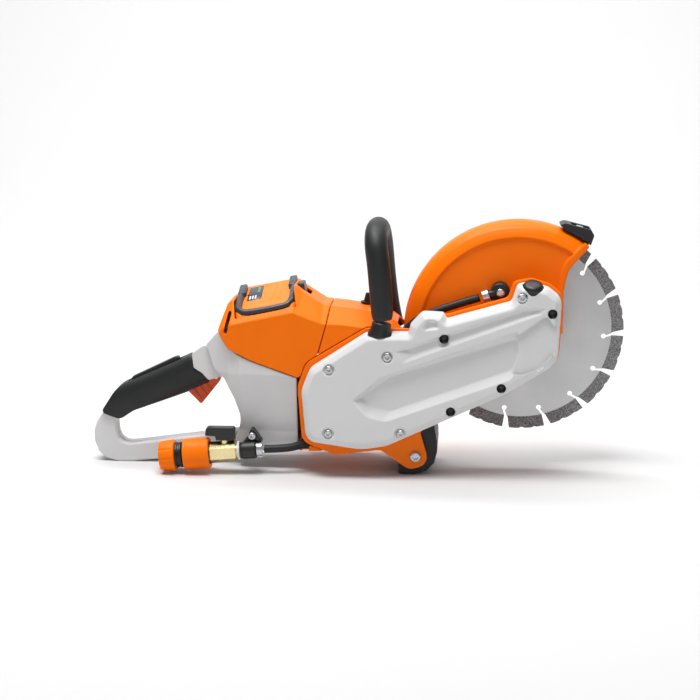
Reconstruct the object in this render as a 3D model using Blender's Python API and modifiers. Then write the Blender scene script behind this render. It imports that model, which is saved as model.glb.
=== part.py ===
"""Battery rescue saw: a 230 mm disc cutter with a belt-driven arm, a battery bay and a water feed.

Lengths in the tables are millimetres in the design frame: X forward to the disc, Y to the operator's
left, Z up from the ground. The empty "rescue_saw" carries every object and puts the origin under the
middle of the whole machine.
"""

import math

import bmesh
import bpy
from mathutils import Matrix, Vector

MM = 0.001
GAP = 0.35  # clearance between touching pieces

# Driving dimensions
DISC_RADIUS = 115.0
SPINDLE = (193.2, 158.8)  # X, Z of the spindle axis
MOTOR = (5.0, 88.0)  # X, Z of the motor axis
GUARD_CENTRE = (189.0, 155.0)
GUARD_RADIUS = 128.0
GUARD_HALF_WIDTH = 24.0
GUARD_WALL = 2.6
GUARD_FROM, GUARD_TO = 52.0, 231.0  # degrees round the guard's centre
HALF_WIDTH = 54.0  # of the battery and motor shrouds
WALL = 3.0
CASE_NEAR, CASE_FAR = -56.0, -50.0  # the drive case's flange
COVER_FACE = -79.0
COVER_RIM = CASE_NEAR - GAP
BATTERY_TILT = 11.0
BATTERY_TOP = (-94.0, 195.0)
BATTERY_HALF = (34.0, 46.5)
BATTERY_LENGTH = 88.0
ORIGIN = (6.6, -13.4)  # X, Y of the middle of the machine's box in the design frame
SEGMENTS = 15
PULLEY_RADIUS, MOTOR_PULLEY_RADIUS = 32.0, 14.0
PIPE_SLOPE = 5.0  # degrees that the water inlet rises towards the front
PIPE_START = (-215.0, -58.0, 17.9)
GRIP_HALF, HANDLE_HALF = 17.5, 13.5


# ---------------------------------------------------------------- scene and materials


def clear_scene():
    for obj in list(bpy.data.objects):
        bpy.data.objects.remove(obj, do_unlink=True)


def collection(name):
    made = bpy.data.collections.new(name)
    bpy.context.scene.collection.children.link(made)
    return made


def material(name, colour, roughness, metallic=0.0):
    made = bpy.data.materials.new(name)
    made.use_nodes = True
    shader = made.node_tree.nodes["Principled BSDF"]
    shader.inputs["Base Color"].default_value = (*colour, 1.0)
    shader.inputs["Roughness"].default_value = roughness
    shader.inputs["Metallic"].default_value = metallic
    made.diffuse_color = (*colour, 1.0)
    return made


# ---------------------------------------------------------------- outlines in the side view


def rounded(corners, arc=3):
    """Points of a polygon whose corners (x, z, radius) are rounded with arc + 1 points each."""
    points = []
    count = len(corners)
    for i, (x, z, radius) in enumerate(corners):
        here = Vector((x, z))
        back = (Vector(corners[i - 1][:2]) - here).normalized()
        ahead = (Vector(corners[(i + 1) % count][:2]) - here).normalized()
        if radius <= 0:
            points.append(tuple(here))
            continue
        half = back.angle(ahead) / 2
        reach = radius / math.tan(half)
        centre = here + (back + ahead).normalized() * (radius / math.sin(half))
        start = here + back * reach - centre
        end = here + ahead * reach - centre
        sweep = math.atan2(start.x * end.y - start.y * end.x, start.dot(end))
        for k in range(arc + 1):
            angle = sweep * k / arc
            turn = Matrix.Rotation(angle, 2)
            points.append(tuple(centre + turn @ start))
    return points


def inset(corners, distance):
    """The counter-clockwise polygon moved inwards by distance, its corner radii with it."""
    moved = []
    count = len(corners)
    for i, (x, z, radius) in enumerate(corners):
        here = Vector((x, z))
        into = (here - Vector(corners[i - 1][:2])).normalized()
        out = (Vector(corners[(i + 1) % count][:2]) - here).normalized()
        normal_in = Vector((-into.y, into.x))
        normal_out = Vector((-out.y, out.x))
        mitre = (normal_in + normal_out).normalized()
        point = here + mitre * (distance / mitre.dot(normal_in))
        convex = into.x * out.y - into.y * out.x > 0
        changed = radius - distance if convex else radius + distance
        moved.append((point.x, point.y, max(changed, 0.0) if radius > 0 else 0.0))
    return moved


def arc_points(centre, radius, start, end, count):
    points = []
    for k in range(count + 1):
        angle = math.radians(start + (end - start) * k / count)
        points.append((centre[0] + radius * math.cos(angle), centre[1] + radius * math.sin(angle)))
    return points


def on_circle(centre, radius, degrees):
    angle = math.radians(degrees)
    return (centre[0] + radius * math.cos(angle), centre[1] + radius * math.sin(angle))


def smooth_path(points, samples):
    """Points along a Catmull-Rom curve through the given ones, samples to each stretch."""
    dims = len(points[0])
    made = []
    for i in range(len(points) - 1):
        p0 = points[max(i - 1, 0)]
        p1, p2 = points[i], points[i + 1]
        p3 = points[min(i + 2, len(points) - 1)]
        for k in range(samples):
            t = k / samples
            value = []
            for d in range(dims):
                a = 2 * p1[d]
                b = p2[d] - p0[d]
                c = 2 * p0[d] - 5 * p1[d] + 4 * p2[d] - p3[d]
                e = -p0[d] + 3 * p1[d] - 3 * p2[d] + p3[d]
                value.append((a + b * t + c * t * t + e * t ** 3) / 2)
            made.append(tuple(value))
    made.append(tuple(points[-1]))
    return made


# ---------------------------------------------------------------- building blocks


def link(name, mesh, finish, helper=False):
    made = bpy.data.objects.new(name, mesh)
    if finish:
        mesh.materials.clear()
        mesh.materials.append(finish)
    (CUTTERS if helper else SAW).objects.link(made)
    if helper:
        made.hide_render = True
        made.display_type = "WIRE"
    made.parent = ROOT
    return made


def plate(name, outlines, near, far, finish=None, bevel=0.0, steps=2, helper=False):
    """A flat outline in the XZ plane, with any further outlines as holes, from Y near to Y far."""
    if isinstance(outlines[0][0], (int, float)):
        outlines = [outlines]
    curve = bpy.data.curves.new(name, "CURVE")
    curve.dimensions = "2D"
    curve.fill_mode = "BOTH"
    curve.extrude = (far - near) / 2 * MM
    for outline in outlines:
        spline = curve.splines.new("POLY")
        spline.points.add(len(outline) - 1)
        for point, (x, z) in zip(spline.points, outline):
            point.co = (x * MM, z * MM, 0, 1)
        spline.use_cyclic_u = True
    guide = bpy.data.objects.new(name + "_outline", curve)
    bpy.context.scene.collection.objects.link(guide)
    mesh = curve_to_mesh(guide, name)
    made = link(name, mesh, finish, helper)
    made.rotation_euler.x = math.radians(90)
    made.location.y = (near + far) / 2 * MM
    if bevel:
        add_bevel(made, bevel, steps)
    return made


def curve_to_mesh(guide, name):
    """The evaluated curve as a welded mesh; the curve itself is removed."""
    graph = bpy.context.evaluated_depsgraph_get()
    mesh = bpy.data.meshes.new_from_object(guide.evaluated_get(graph))
    mesh.name = name
    curve = guide.data
    bpy.data.objects.remove(guide)
    bpy.data.curves.remove(curve)
    work = bmesh.new()
    work.from_mesh(mesh)
    bmesh.ops.remove_doubles(work, verts=work.verts, dist=0.01 * MM)
    bmesh.ops.recalc_face_normals(work, faces=work.faces)
    work.to_mesh(mesh)
    work.free()
    mesh.shade_smooth()
    mesh.set_sharp_from_angle(angle=math.radians(35))
    return mesh


def add_bevel(obj, width, steps=2, angle=40):
    bevel = obj.modifiers.new("rounded_edges", "BEVEL")
    bevel.width = width * MM
    bevel.segments = steps
    bevel.limit_method = "ANGLE"
    bevel.angle_limit = math.radians(angle)
    bevel.use_clamp_overlap = True
    return bevel


def tube(name, path, radius, finish=None, sides=3, helper=False, weights=None):
    """A round bar along path (x, y, z), its radius scaled by weights where they are given."""
    curve = bpy.data.curves.new(name, "CURVE")
    curve.dimensions = "3D"
    curve.bevel_depth = radius * MM
    curve.bevel_resolution = sides
    curve.use_fill_caps = True
    spline = curve.splines.new("POLY")
    spline.points.add(len(path) - 1)
    for i, (point, place) in enumerate(zip(spline.points, path)):
        point.co = (place[0] * MM, place[1] * MM, place[2] * MM, 1)
        point.radius = weights[i] if weights else 1.0
    guide = bpy.data.objects.new(name + "_path", curve)
    bpy.context.scene.collection.objects.link(guide)
    return link(name, curve_to_mesh(guide, name), finish, helper)


def rod(name, start, end, radius, finish=None, far_radius=None, sides=16, helper=False):
    """A cylinder, or a cone with far_radius at its end, between two points."""
    start, end = Vector(start) * MM, Vector(end) * MM
    mesh = bpy.data.meshes.new(name)
    work = bmesh.new()
    bmesh.ops.create_cone(
        work,
        cap_ends=True,
        segments=sides,
        radius1=radius * MM,
        radius2=(radius if far_radius is None else far_radius) * MM,
        depth=(end - start).length,
    )
    work.to_mesh(mesh)
    work.free()
    mesh.shade_smooth()
    mesh.set_sharp_from_angle(angle=math.radians(35))
    made = link(name, mesh, finish, helper)
    made.location = (start + end) / 2
    made.rotation_mode = "QUATERNION"
    made.rotation_quaternion = (end - start).to_track_quat("Z", "Y")
    return made


def box(name, centre, size, finish=None, tilt=0.0, bevel=0.0, helper=False):
    """A cuboid, turned by tilt degrees about Y."""
    mesh = bpy.data.meshes.new(name)
    work = bmesh.new()
    bmesh.ops.create_cube(work, size=1.0)
    bmesh.ops.scale(work, vec=Vector(size) * MM, verts=work.verts)
    work.to_mesh(mesh)
    work.free()
    made = link(name, mesh, finish, helper)
    made.location = Vector(centre) * MM
    made.rotation_euler.y = math.radians(tilt)
    if bevel:
        add_bevel(made, bevel)
    return made


def turned(name, profile, centre, axis=(0, 1, 0), finish=None, steps=24, helper=False):
    """A profile of (radius, height), top to bottom along its outer side, turned round axis."""
    on_axis = profile[0][0] == 0
    mesh = bpy.data.meshes.new(name)
    verts = [(r * MM, 0, h * MM) for r, h in profile]
    edges = [(i, i + 1) for i in range(len(verts) - 1)]
    if not on_axis:
        edges.append((len(verts) - 1, 0))
    mesh.from_pydata(verts, edges, [])
    made = link(name, mesh, finish, helper)
    made.location = Vector(centre) * MM
    made.rotation_mode = "QUATERNION"
    made.rotation_quaternion = Vector(axis).to_track_quat("Z", "Y")
    screw = made.modifiers.new("turn", "SCREW")
    screw.steps = steps
    screw.render_steps = steps
    screw.use_merge_vertices = True
    screw.merge_threshold = 0.00001
    screw.use_smooth_shade = True
    shading = made.modifiers.new("crisp_edges", "WEIGHTED_NORMAL")
    shading.keep_sharp = True
    return made


def loft(name, rings, finish=None, helper=False):
    """A closed solid through rings of equally many 3D points, capped at both ends."""
    mesh = bpy.data.meshes.new(name)
    work = bmesh.new()
    layers = [[work.verts.new(Vector(p) * MM) for p in ring] for ring in rings]
    count = len(layers[0])
    for low, high in zip(layers, layers[1:]):
        for i in range(count):
            j = (i + 1) % count
            work.faces.new((low[i], low[j], high[j], high[i]))
    work.faces.new(reversed(layers[0]))
    work.faces.new(layers[-1])
    bmesh.ops.recalc_face_normals(work, faces=work.faces)
    work.to_mesh(mesh)
    work.free()
    return link(name, mesh, finish, helper)


def boolean(obj, other, operation):
    step = obj.modifiers.new(operation.lower() + "_" + other.name, "BOOLEAN")
    step.operation = operation
    step.solver = "EXACT"
    step.object = other
    return obj


def cut(obj, *cutters):
    for cutter in cutters:
        boolean(obj, cutter, "DIFFERENCE")
    return obj


def add(obj, *others):
    for other in others:
        boolean(obj, other, "UNION")
    return obj


def common(obj, other):
    return boolean(obj, other, "INTERSECT")


# ---------------------------------------------------------------- shared outlines (X, Z, corner radius)

COVER = [
    (-44, 42, 14),
    (18, 33, 60),
    (46, 38, 30),
    (175, 98, 150),
    (232, 134, 26),
    (235, 205, 14),
    (221, 216, 10),
    (201, 222, 9),
    (187, 219, 6),
    (181, 200, 6),
    (111, 180, 2),
    (107, 187, 3),
    (84, 188, 8),
    (71, 174, 6),
    (69, 165, 1.5),
    (23, 164, 14),
    (-40, 123, 16),
    (-49, 99, 24),
]
CASE = [
    (-50, 37, 14),
    (-12, 22, 14),
    (38, 29, 10),
    (70, 6.5, 13),
    (93, 13, 12),
    (82, 51, 4),
    (176, 95, 150),
    (234, 132, 26),
    (237, 207, 15),
    (222, 219, 10),
    (202, 225, 10),
    (183, 221, 7),
    (177, 203, 6),
    (112, 184, 3),
    (80, 182, 8),
    (70, 167, 2),
    (21, 167, 14),
    (-45, 127, 18),
    (-55, 100, 24),
]
PANEL_RIM = [
    (30, 65, 20),
    (74, 68, 30),
    (192, 127, 26),
    (213, 177, 6),
    (112, 151, 60),
    (44, 125, 20),
    (4, 88, 6),
]
PANEL_FLOOR = [
    (38, 78, 14),
    (72, 80, 22),
    (184, 129, 16),
    (189, 164, 5),
    (114, 142, 50),
    (56, 118, 14),
    (17, 90, 4),
]
BODY = [
    (-127.5, 13, 1),
    (-118, 14.5, 10),
    (-56, 24, 2),
    (-56, 109, 1),
    (-107, 127, 18),
    (-134, 140, 14),
    (-146, 158, 2),
    (-162, 140, 3),
    (-151.5, 113.5, 2),
    (-139, 104, 3),
    (-128, 82, 16),
    (-120.5, 60, 26),
    (-125.5, 39, 6),
    (-127.5, 37, 1),
]
BODY_ROOM = [
    (-108, 20, 4),
    (-40, 30, 0),
    (-40, 180, 0),
    (-133, 180, 0),
    (-133, 150, 2),
    (-143, 136, 4),
    (-134, 113, 6),
    (-114, 89, 14),
    (-105, 60, 20),
]
BATTERY_SHROUD = [
    (-145.5, 159.5, 2),
    (-133.4, 141, 14),
    (-106.6, 127.8, 18),
    (-55, 109.4, 1),
    (-38, 118, 1),
    (-23, 171, 1),
    (-17, 206, 1),
    (-56, 230, 1),
    (-128, 205, 4),
    (-134, 194, 8),
    (-140, 176, 20),
]
BATTERY_ROOM = [
    (-141.5, 150, 0),
    (-100, 90, 0),
    (0, 90, 0),
    (0, 240, 0),
    (-124, 240, 0),
    (-130.5, 194, 6),
    (-136.5, 176, 16),
]
MOTOR_SHROUD = [
    (-55.3, 25, 2),
    (40, 29, 6),
    (58, 62.5, 6),
    (84, 62.5, 6),
    (78, 100, 30),
    (72, 146, 12),
    (60, 190, 2),
    (-16.4, 207, 1),
    (-22.3, 171, 1),
    (-37.3, 117.4, 1),
    (-55.3, 108.7, 1),
]
MOTOR_ROOM = [
    (-70, 28.5, 0),
    (38, 32, 4),
    (56, 65.5, 4),
    (78, 65.5, 4),
    (74, 100, 28),
    (68, 146, 10),
    (58, 215, 0),
    (-10, 215, 0),
    (-30, 171, 0),
    (-70, 120, 0),
]
HANDLE = [
    (-291, 0, 26),
    (-252, 0, 60),
    (-128, 13, 3),
    (-128, 37, 3),
    (-246, 21, 40),
    (-268, 19, 14),
    (-271, 52, 14),
    (-247, 65, 20),
    (-186, 89, 5),
    (-175, 97, 6),
    (-140, 103.5, 3),
    (-152.2, 113.5, 2),
    (-162.7, 140, 3),
    (-182, 120, 8),
    (-262, 83, 30),
    (-297, 42, 36),
]
COLLAR = [
    (-160, 98, 2),
    (-142, 103.5, 3),
    (-152.2, 113.5, 2),
    (-162.7, 140.5, 3),
    (-179, 129, 4),
    (-177, 112, 2),
    (-168, 106.5, 3),
]
GRIP = [
    (-286, 58, 4),
    (-264, 49, 8),
    (-248, 60, 25),
    (-186, 82, 10),
    (-158.5, 95.5, 2),
    (-168.4, 105.4, 3),
    (-178, 111.4, 2),
    (-179.8, 126, 3),
    (-267, 87.5, 36),
]
SKID = [
    (58, 0, 2),
    (102, 0, 26),
    (101, 38, 15),
    (97, 60, 2),
    (70, 60, 2),
    (67, 40, 8),
    (58, 14, 3),
]
ARM = [
    (76, 62, 10),
    (110, 74, 10),
    (185, 112, 30),
    (218, 140, 24),
    (218, 180, 20),
    (193, 186, 20),
    (168, 168, 12),
    (76, 150, 12),
]
LEVER = [
    (233, 278.5, 1),
    (246, 269, 20),
    (254.5, 259.5, 3),
    (262, 253, 2),
    (268, 255, 2),
    (272, 267, 3),
    (268, 273.5, 2.5),
    (252, 277.5, 1),
    (240, 280.5, 1.5),
]
HOSE = [
    (-92, -58.0, 28.4),
    (-78, -57.5, 29),
    (-62, -54, 30),
    (-46, -46, 32.6),
    (-25, -42, 34.5),
    (5, -41.5, 38),
    (32, -41.5, 44),
    (49, -41.5, 68),
    (52, -41.5, 110),
    (56, -41, 145),
    (70, -39, 168),
    (94, -37, 182),
    (122, -36, 192),
    (146, -36, 199.5),
]
HANDLE_PATH = [  # x, y, z, share of the full radius
    (40, -66, 178.4, 0.82),
    (39.8, -66, 186, 0.94),
    (38.6, -66, 206, 1.0),
    (36, -66, 236, 1.0),
    (33, -61, 258, 1.0),
    (32, -46, 271, 0.98),
    (33, -20, 274.5, 0.95),
    (34.5, 6, 267, 0.93),
    (36.5, 26, 248, 0.9),
    (39, 38, 218, 0.86),
    (43.5, 44, 186, 0.78),
    (50, 46, 163, 0.6),
    (54, 46, 152, 0.54),
]
HANDLE_RADIUS = 12.7
COVER_SCREWS = [(-18, 124), (-19, 52), (61, 53), (46, 139), (192, 206)]
COVER_PLUGS = [(108, 160), (116, 79), (171, 106), (225, 189)]
ELBOW = (169.0, 206.0)


def pipe_point(along):
    """A point on the water inlet's axis, along millimetres from its rear end."""
    x, y, z = PIPE_START
    slope = math.radians(PIPE_SLOPE)
    return (x + along * math.cos(slope), y, z + along * math.sin(slope))


def hood_rings(shrink):
    """Sections of the shrouds' outer form along X: (x, half-width, crease Z, top half-width, top Z)."""
    stations = [
        (-150, 40, 150, 22, 172),
        (-140, 50, 163, 24, 185),
        (-130, 54, 168, 27, 192),
        (-60, 54, 183, 27, 209.5),
        (-50, 54, 179, 27, 202),
        (-28, 54, 171, 27, 188),
        (-4, 54, 170, 27, 185.5),
        (28, 54, 166, 27, 181),
        (50, 53, 158, 26, 172),
        (66, 50, 148, 24, 160),
        (90, 48, 140, 22, 146),
    ]
    rings = []
    for x, wide, crease, top_wide, top in stations:
        w, t = wide - shrink, top_wide - shrink * 0.6
        c, z = crease - shrink * 0.6, top - shrink
        side = [(w, 10), (w, c), (t, z)]
        ring = [(x, y, h) for y, h in side]
        ring += [(x, -y, h) for y, h in reversed(side)]
        rings.append(ring)
    return rings


def body_rings(shrink):
    """Sections of the rear body along X: (x, half-width low down, half-width above)."""
    stations = [(-166, 14, 21), (-150, 20, 31), (-134, 28, 46), (-120, 34, 52), (-40, 40, 53.5)]
    rings = []
    for x, low, high in stations:
        a, b = low - shrink, high - shrink
        side = [(a - 9, 8), (a, 20), (a + 1, 45), (b, 112), (b, 190)]
        ring = [(x, y, h) for y, h in side]
        ring += [(x, -y, h) for y, h in reversed(side)]
        rings.append(ring)
    return rings


# ---------------------------------------------------------------- the drive arm


def make_drive_case():
    case = plate("drive_case", rounded(CASE), CASE_NEAR, CASE_FAR, ORANGE)
    arm = plate("arm_rib", rounded(ARM), CASE_FAR - 1, -27, helper=True)
    x, z = SPINDLE
    boss = rod("bearing_boss", (x, -51, z), (x, -18, z), 24.5, sides=32, helper=True)
    add(case, arm, boss)
    bore = rod("bearing_bore", (x, -60, z), (x, -10, z), 15.6, helper=True)
    shaft = rod("motor_hole", (MOTOR[0], -60, MOTOR[1]), (MOTOR[0], -40, MOTOR[1]), 9, helper=True)
    foot = rod("foot_hole", (77, -60, 22), (77, -40, 22), 3.4, sides=16, helper=True)
    cut(case, bore, shaft, foot, *SCREW_HOLES, SOCKET_ROOM)
    return case


def make_belt_cover():
    cover = plate("belt_cover", rounded(COVER), COVER_FACE, COVER_RIM, WHITE, bevel=1.4, steps=1)
    rim = [(x, COVER_FACE - 1, z) for x, z in rounded(grown(PANEL_RIM, 1.2))]
    floor = [(x, COVER_FACE + 5, z) for x, z in rounded(PANEL_FLOOR)]
    panel = loft("panel_recess", [rim, floor], helper=True)
    room = plate("cover_room", rounded(inset(COVER, 3)), -71, -50, helper=True)
    cut(cover, room, panel, *SCREW_HOLES, *HEAD_ROOMS, *PLUG_HOLES, SOCKET_ROOM, BUTTON_ROOM)
    return cover


def grown(corners, distance):
    return inset(corners, -distance)


def make_cover_fasteners():
    for i, (x, z) in enumerate(COVER_SCREWS, 1):
        profile = [(0, 3), (3.6, 3), (4.6, 2), (4.6, 0), (2.2, 0), (2.2, -24), (0, -24)]
        screw = turned(f"cover_screw_{i}", profile, (x, COVER_FACE + 3.3, z), (0, -1, 0), STEEL, steps=16)
        outer, inner = (x, COVER_FACE - 2, z), (x, COVER_FACE + 2, z)
        socket = rod(f"screw_socket_{i}", outer, inner, 1.9, sides=6, helper=True)
        cut(screw, socket)
    for i, (x, z) in enumerate(COVER_PLUGS, 1):
        profile = [(0, 1.6), (3.4, 1.6), (5.1, 0.4), (5.1, -8), (0, -8)]
        turned(f"cover_plug_{i}", profile, (x, COVER_FACE + 1.2, z), (0, -1, 0), BLACK, steps=16)


def make_spindle_lock():
    """The lock button on the arm's top edge, its stem towards the pulley."""
    top = Vector(BUTTON_TOP)
    out = Vector(BUTTON_AXIS)
    profile = [(0, 0), (8, 0), (10.6, -1.6), (11.4, -4), (11.4, -8), (4, -8), (4, -19), (0, -19)]
    turned("spindle_lock_button", profile, top, out, BLACK, steps=24)


def make_spindle():
    x, z = SPINDLE
    spindle = [(0, -6.4), (9, -6.4), (9, -45.5), (7, -46), (7, -70.6), (0, -70.6)]
    shaft = turned("spindle", spindle, (x, 0, z), finish=STEEL, steps=24)
    cut(shaft, rod("bolt_hole", (x, -26, z), (x, 2, z), 4.4, sides=16, helper=True))
    ring = [(15.2, -25), (15.2, -45), (9.4, -45), (9.4, -25)]
    turned("spindle_bearing", ring, (x, 0, z), finish=STEEL, steps=24)
    groove = PULLEY_RADIUS - 1.5
    pulley = [
        (PULLEY_RADIUS + 2, -59),
        (PULLEY_RADIUS + 2, -60),
        (groove, -60),
        (groove, -69.6),
        (PULLEY_RADIUS + 2, -69.6),
        (PULLEY_RADIUS + 2, -70.4),
        (7.35, -70.4),
        (7.35, -59),
    ]
    turned("spindle_pulley", pulley, (x, 0, z), finish=STEEL, steps=24)
    flange = [(10.8, 1.1), (10.8, -1.6), (29, -1.6), (29, -4), (24, -6), (4.6, -6), (4.6, 1.1)]
    turned("inner_flange", flange, (x, 0, z), finish=STEEL, steps=24)
    cap = [(24, 6), (29, 4), (29, 1.6), (4.6, 1.6), (4.6, 6)]
    turned("outer_flange", cap, (x, 0, z), finish=STEEL, steps=24)
    bolt = rod("disc_bolt", (x, 6.4, z), (x, 13, z), 9.2, STEEL, sides=6)
    washer = rod("bolt_washer", (x, 6.4, z), (x, 8, z), 11, sides=24, helper=True)
    shank = rod("bolt_shank", (x, -22, z), (x, 7, z), 4, sides=16, helper=True)
    add(bolt, washer, shank)


def make_disc():
    """The steel core and its rim of segments, parted by slanting slots that end in keyholes."""
    x, z = SPINDLE
    pitch = 360 / SEGMENTS
    core = DISC_RADIUS - 12.9
    outline = []
    for k in range(SEGMENTS):
        mouth = 22.3 + pitch * k
        outline += arc_points((x, z), DISC_RADIUS, mouth - pitch + 1.9, mouth - 1.9, 3)
        slant = mouth - 2.8
        hole = math.radians(slant)
        keyhole = (x + 93 * math.cos(hole), z + 93 * math.sin(hole))
        outline.append(on_circle((x, z), core, mouth - 1.7))
        outline += arc_points(keyhole, 2.8, slant - 25, slant + 25 - 360, 5)
        outline.append(on_circle((x, z), core, mouth - 0.1))
    bore = arc_points((x, z), 11.1, 0, 345, 23)
    plate("diamond_disc", [outline, bore], -1.3, 1.3, STEEL)


def make_motor():
    x, z = MOTOR
    stator = [(35, 14), (35, -44), (22, -44), (22, 14)]
    turned("motor_stator", stator, (x, 0, z), finish=COPPER, steps=24)
    rotor = [
        (0, 30),
        (5, 30),
        (5, 12),
        (21.2, 12),
        (21.2, -42),
        (5, -42),
        (5, -70.6),
        (0, -70.6),
    ]
    turned("motor_rotor", rotor, (x, 0, z), finish=STEEL, steps=20)
    groove = MOTOR_PULLEY_RADIUS - 1.5
    pulley = [
        (MOTOR_PULLEY_RADIUS + 2, -59),
        (MOTOR_PULLEY_RADIUS + 2, -60),
        (groove, -60),
        (groove, -69.6),
        (MOTOR_PULLEY_RADIUS + 2, -69.6),
        (MOTOR_PULLEY_RADIUS + 2, -70.4),
        (5.35, -70.4),
        (5.35, -59),
    ]
    turned("motor_pulley", pulley, (x, 0, z), finish=STEEL, steps=24)


def make_belt():
    """An open flat-backed belt round both pulleys."""

    def loop(extra):
        big, small = PULLEY_RADIUS + extra, MOTOR_PULLEY_RADIUS + extra
        dx, dz = SPINDLE[0] - MOTOR[0], SPINDLE[1] - MOTOR[1]
        heading = math.degrees(math.atan2(dz, dx))
        lean = math.degrees(math.asin((big - small) / math.hypot(dx, dz)))
        front = arc_points(SPINDLE, big, heading - 90 - lean, heading + 90 + lean, 18)
        back = arc_points(MOTOR, small, heading + 90 + lean, heading + 270 - lean, 10)
        return front + back

    plate("drive_belt", [loop(1.6), loop(-1.0)], -69.2, -60.4, RUBBER)


# ---------------------------------------------------------------- the guard


def guard_solid(name, shrink, finish=None, helper=False):
    """A disc with rounded shoulders round the guard's centre, smaller all over by shrink."""
    r, w = GUARD_RADIUS - shrink, GUARD_HALF_WIDTH - shrink
    profile = [(0, w), (r - 18, w), (r - 9, w - 2.4), (r - 2.6, w - 8), (r, w - 16)]
    profile += [(radius, -y) for radius, y in reversed(profile)]
    x, z = GUARD_CENTRE
    return turned(name, profile, (x, 0, z), (0, -1, 0), finish, steps=44, helper=helper)


def make_guard():
    guard = guard_solid("guard_shell", 0, ORANGE)
    room = guard_solid("guard_room", GUARD_WALL, helper=True)
    span = arc_points(GUARD_CENTRE, 150, GUARD_FROM, GUARD_TO, 12)
    edge = [(104, 50, 0), (128, 74, 8), (200, 112, 20), (236, 148, 16), (236, 204, 14), (243, 233, 30)]
    tip = on_circle(GUARD_CENTRE, GUARD_RADIUS + 4, GUARD_FROM)
    keep = rounded([(x, z, 0) for x, z in span] + edge + [(*tip, 0)], 3)
    common(guard, plate("guard_span", keep, -40, 40, helper=True))
    far_edge = [
        (95, 20, 0),
        (290, 20, 0),
        (290, 250, 0),
        (262, 262, 0),
        (240, 214, 30),
        (222, 196, 30),
        (164, 196, 30),
        (148, 140, 40),
        (110, 60, 0),
    ]
    window = plate("guard_window", rounded(far_edge), 4, 40, helper=True)
    lip = [
        (235.6, 160, 1),
        (239, 160, 1),
        (239, 206, 20),
        (243.5, 229, 30),
        (266.5, 255.5, 1.5),
        (261.5, 260, 1.5),
        (238, 236, 30),
        (234.4, 208, 14),
    ]
    bead = plate("guard_lip", rounded(lip), -GUARD_HALF_WIDTH - 3, -GUARD_HALF_WIDTH + 5, helper=True)
    add_bevel(bead, 1.6, 2)
    near, far = (SPINDLE[0], -40, SPINDLE[1]), (SPINDLE[0], -10, SPINDLE[1])
    hub = rod("guard_hub", near, far, 26.6, sides=32, helper=True)
    port = rod("water_port", (ELBOW[0], -30, ELBOW[1]), (ELBOW[0], -12, ELBOW[1]), 3.2, sides=12, helper=True)
    cut(guard, room, window)
    add(guard, bead)
    cut(guard, hub, port)
    lever = plate("guard_lever", rounded(LEVER, 3), -17, 17, BLACK)
    add_bevel(lever, 0.7, 1)
    clear = arc_points(GUARD_CENTRE, GUARD_RADIUS + GAP, 20, 100, 24) + [GUARD_CENTRE]
    over = plate("lever_seat", clear, -40, 40, helper=True)
    lip_room = plate("lip_room", rounded(grown(lip, 0.5)), -30, -18, helper=True)
    cut(lever, over, lip_room)


def make_elbow():
    x, z = ELBOW
    profile = [(8, 8), (10.6, 5.5), (10.6, -8), (3.8, -8), (3.8, 8)]
    body = turned("hose_elbow", profile, (x, -33, z), (0, -1, 0), BLACK, steps=24)
    neck = rod("elbow_neck", (x - 5, -36, z - 1.7), (x - 18, -36, z - 6.1), 6.4, far_radius=5.6, helper=True)
    bore = rod("elbow_bore", (x, -60, z), (x, -10, z), 3.8, sides=16, helper=True)
    mouth = rod("elbow_mouth", (x - 13.6, -36, z - 4.6), (x - 26, -36, z - 8.8), 4.9, sides=16, helper=True)
    add(body, neck)
    cut(body, bore, mouth)
    screw = turned(
        "elbow_screw",
        [(0, 11.6), (4.2, 11.6), (4.8, 10.6), (4.8, 8.4), (3.2, 8.4), (3.2, -8.4), (2.6, -14), (0, -14)],
        (x, -33, z),
        (0, -1, 0),
        STEEL,
        steps=16,
    )
    slot = box("screw_slot", (x, -45, z), (6, 2, 1.2), helper=True)
    cut(screw, slot)
    axis = Vector((-18 + 5, 0, -6.1 + 1.7)).normalized()
    ring = [(8.2, 4), (8.2, -4), (6.9, -4), (6.9, 4)]
    turned("hose_clamp_front", ring, (x - 15.5, -36, z - 5.25), axis, STEEL, steps=20)


# ---------------------------------------------------------------- shrouds, rear body and battery


def shell(name, outline, room, rings, inner_rings, finish):
    """Side outline cut to the rings' form, hollowed by the room outline within the inner rings."""
    made = plate(name, rounded(outline), -70, 70, finish)
    common(made, loft(name + "_form", rings, helper=True))
    hollow = plate(name + "_room", rounded(room), -70, 70, helper=True)
    common(hollow, loft(name + "_inner", inner_rings, helper=True))
    return cut(made, hollow)


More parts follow.
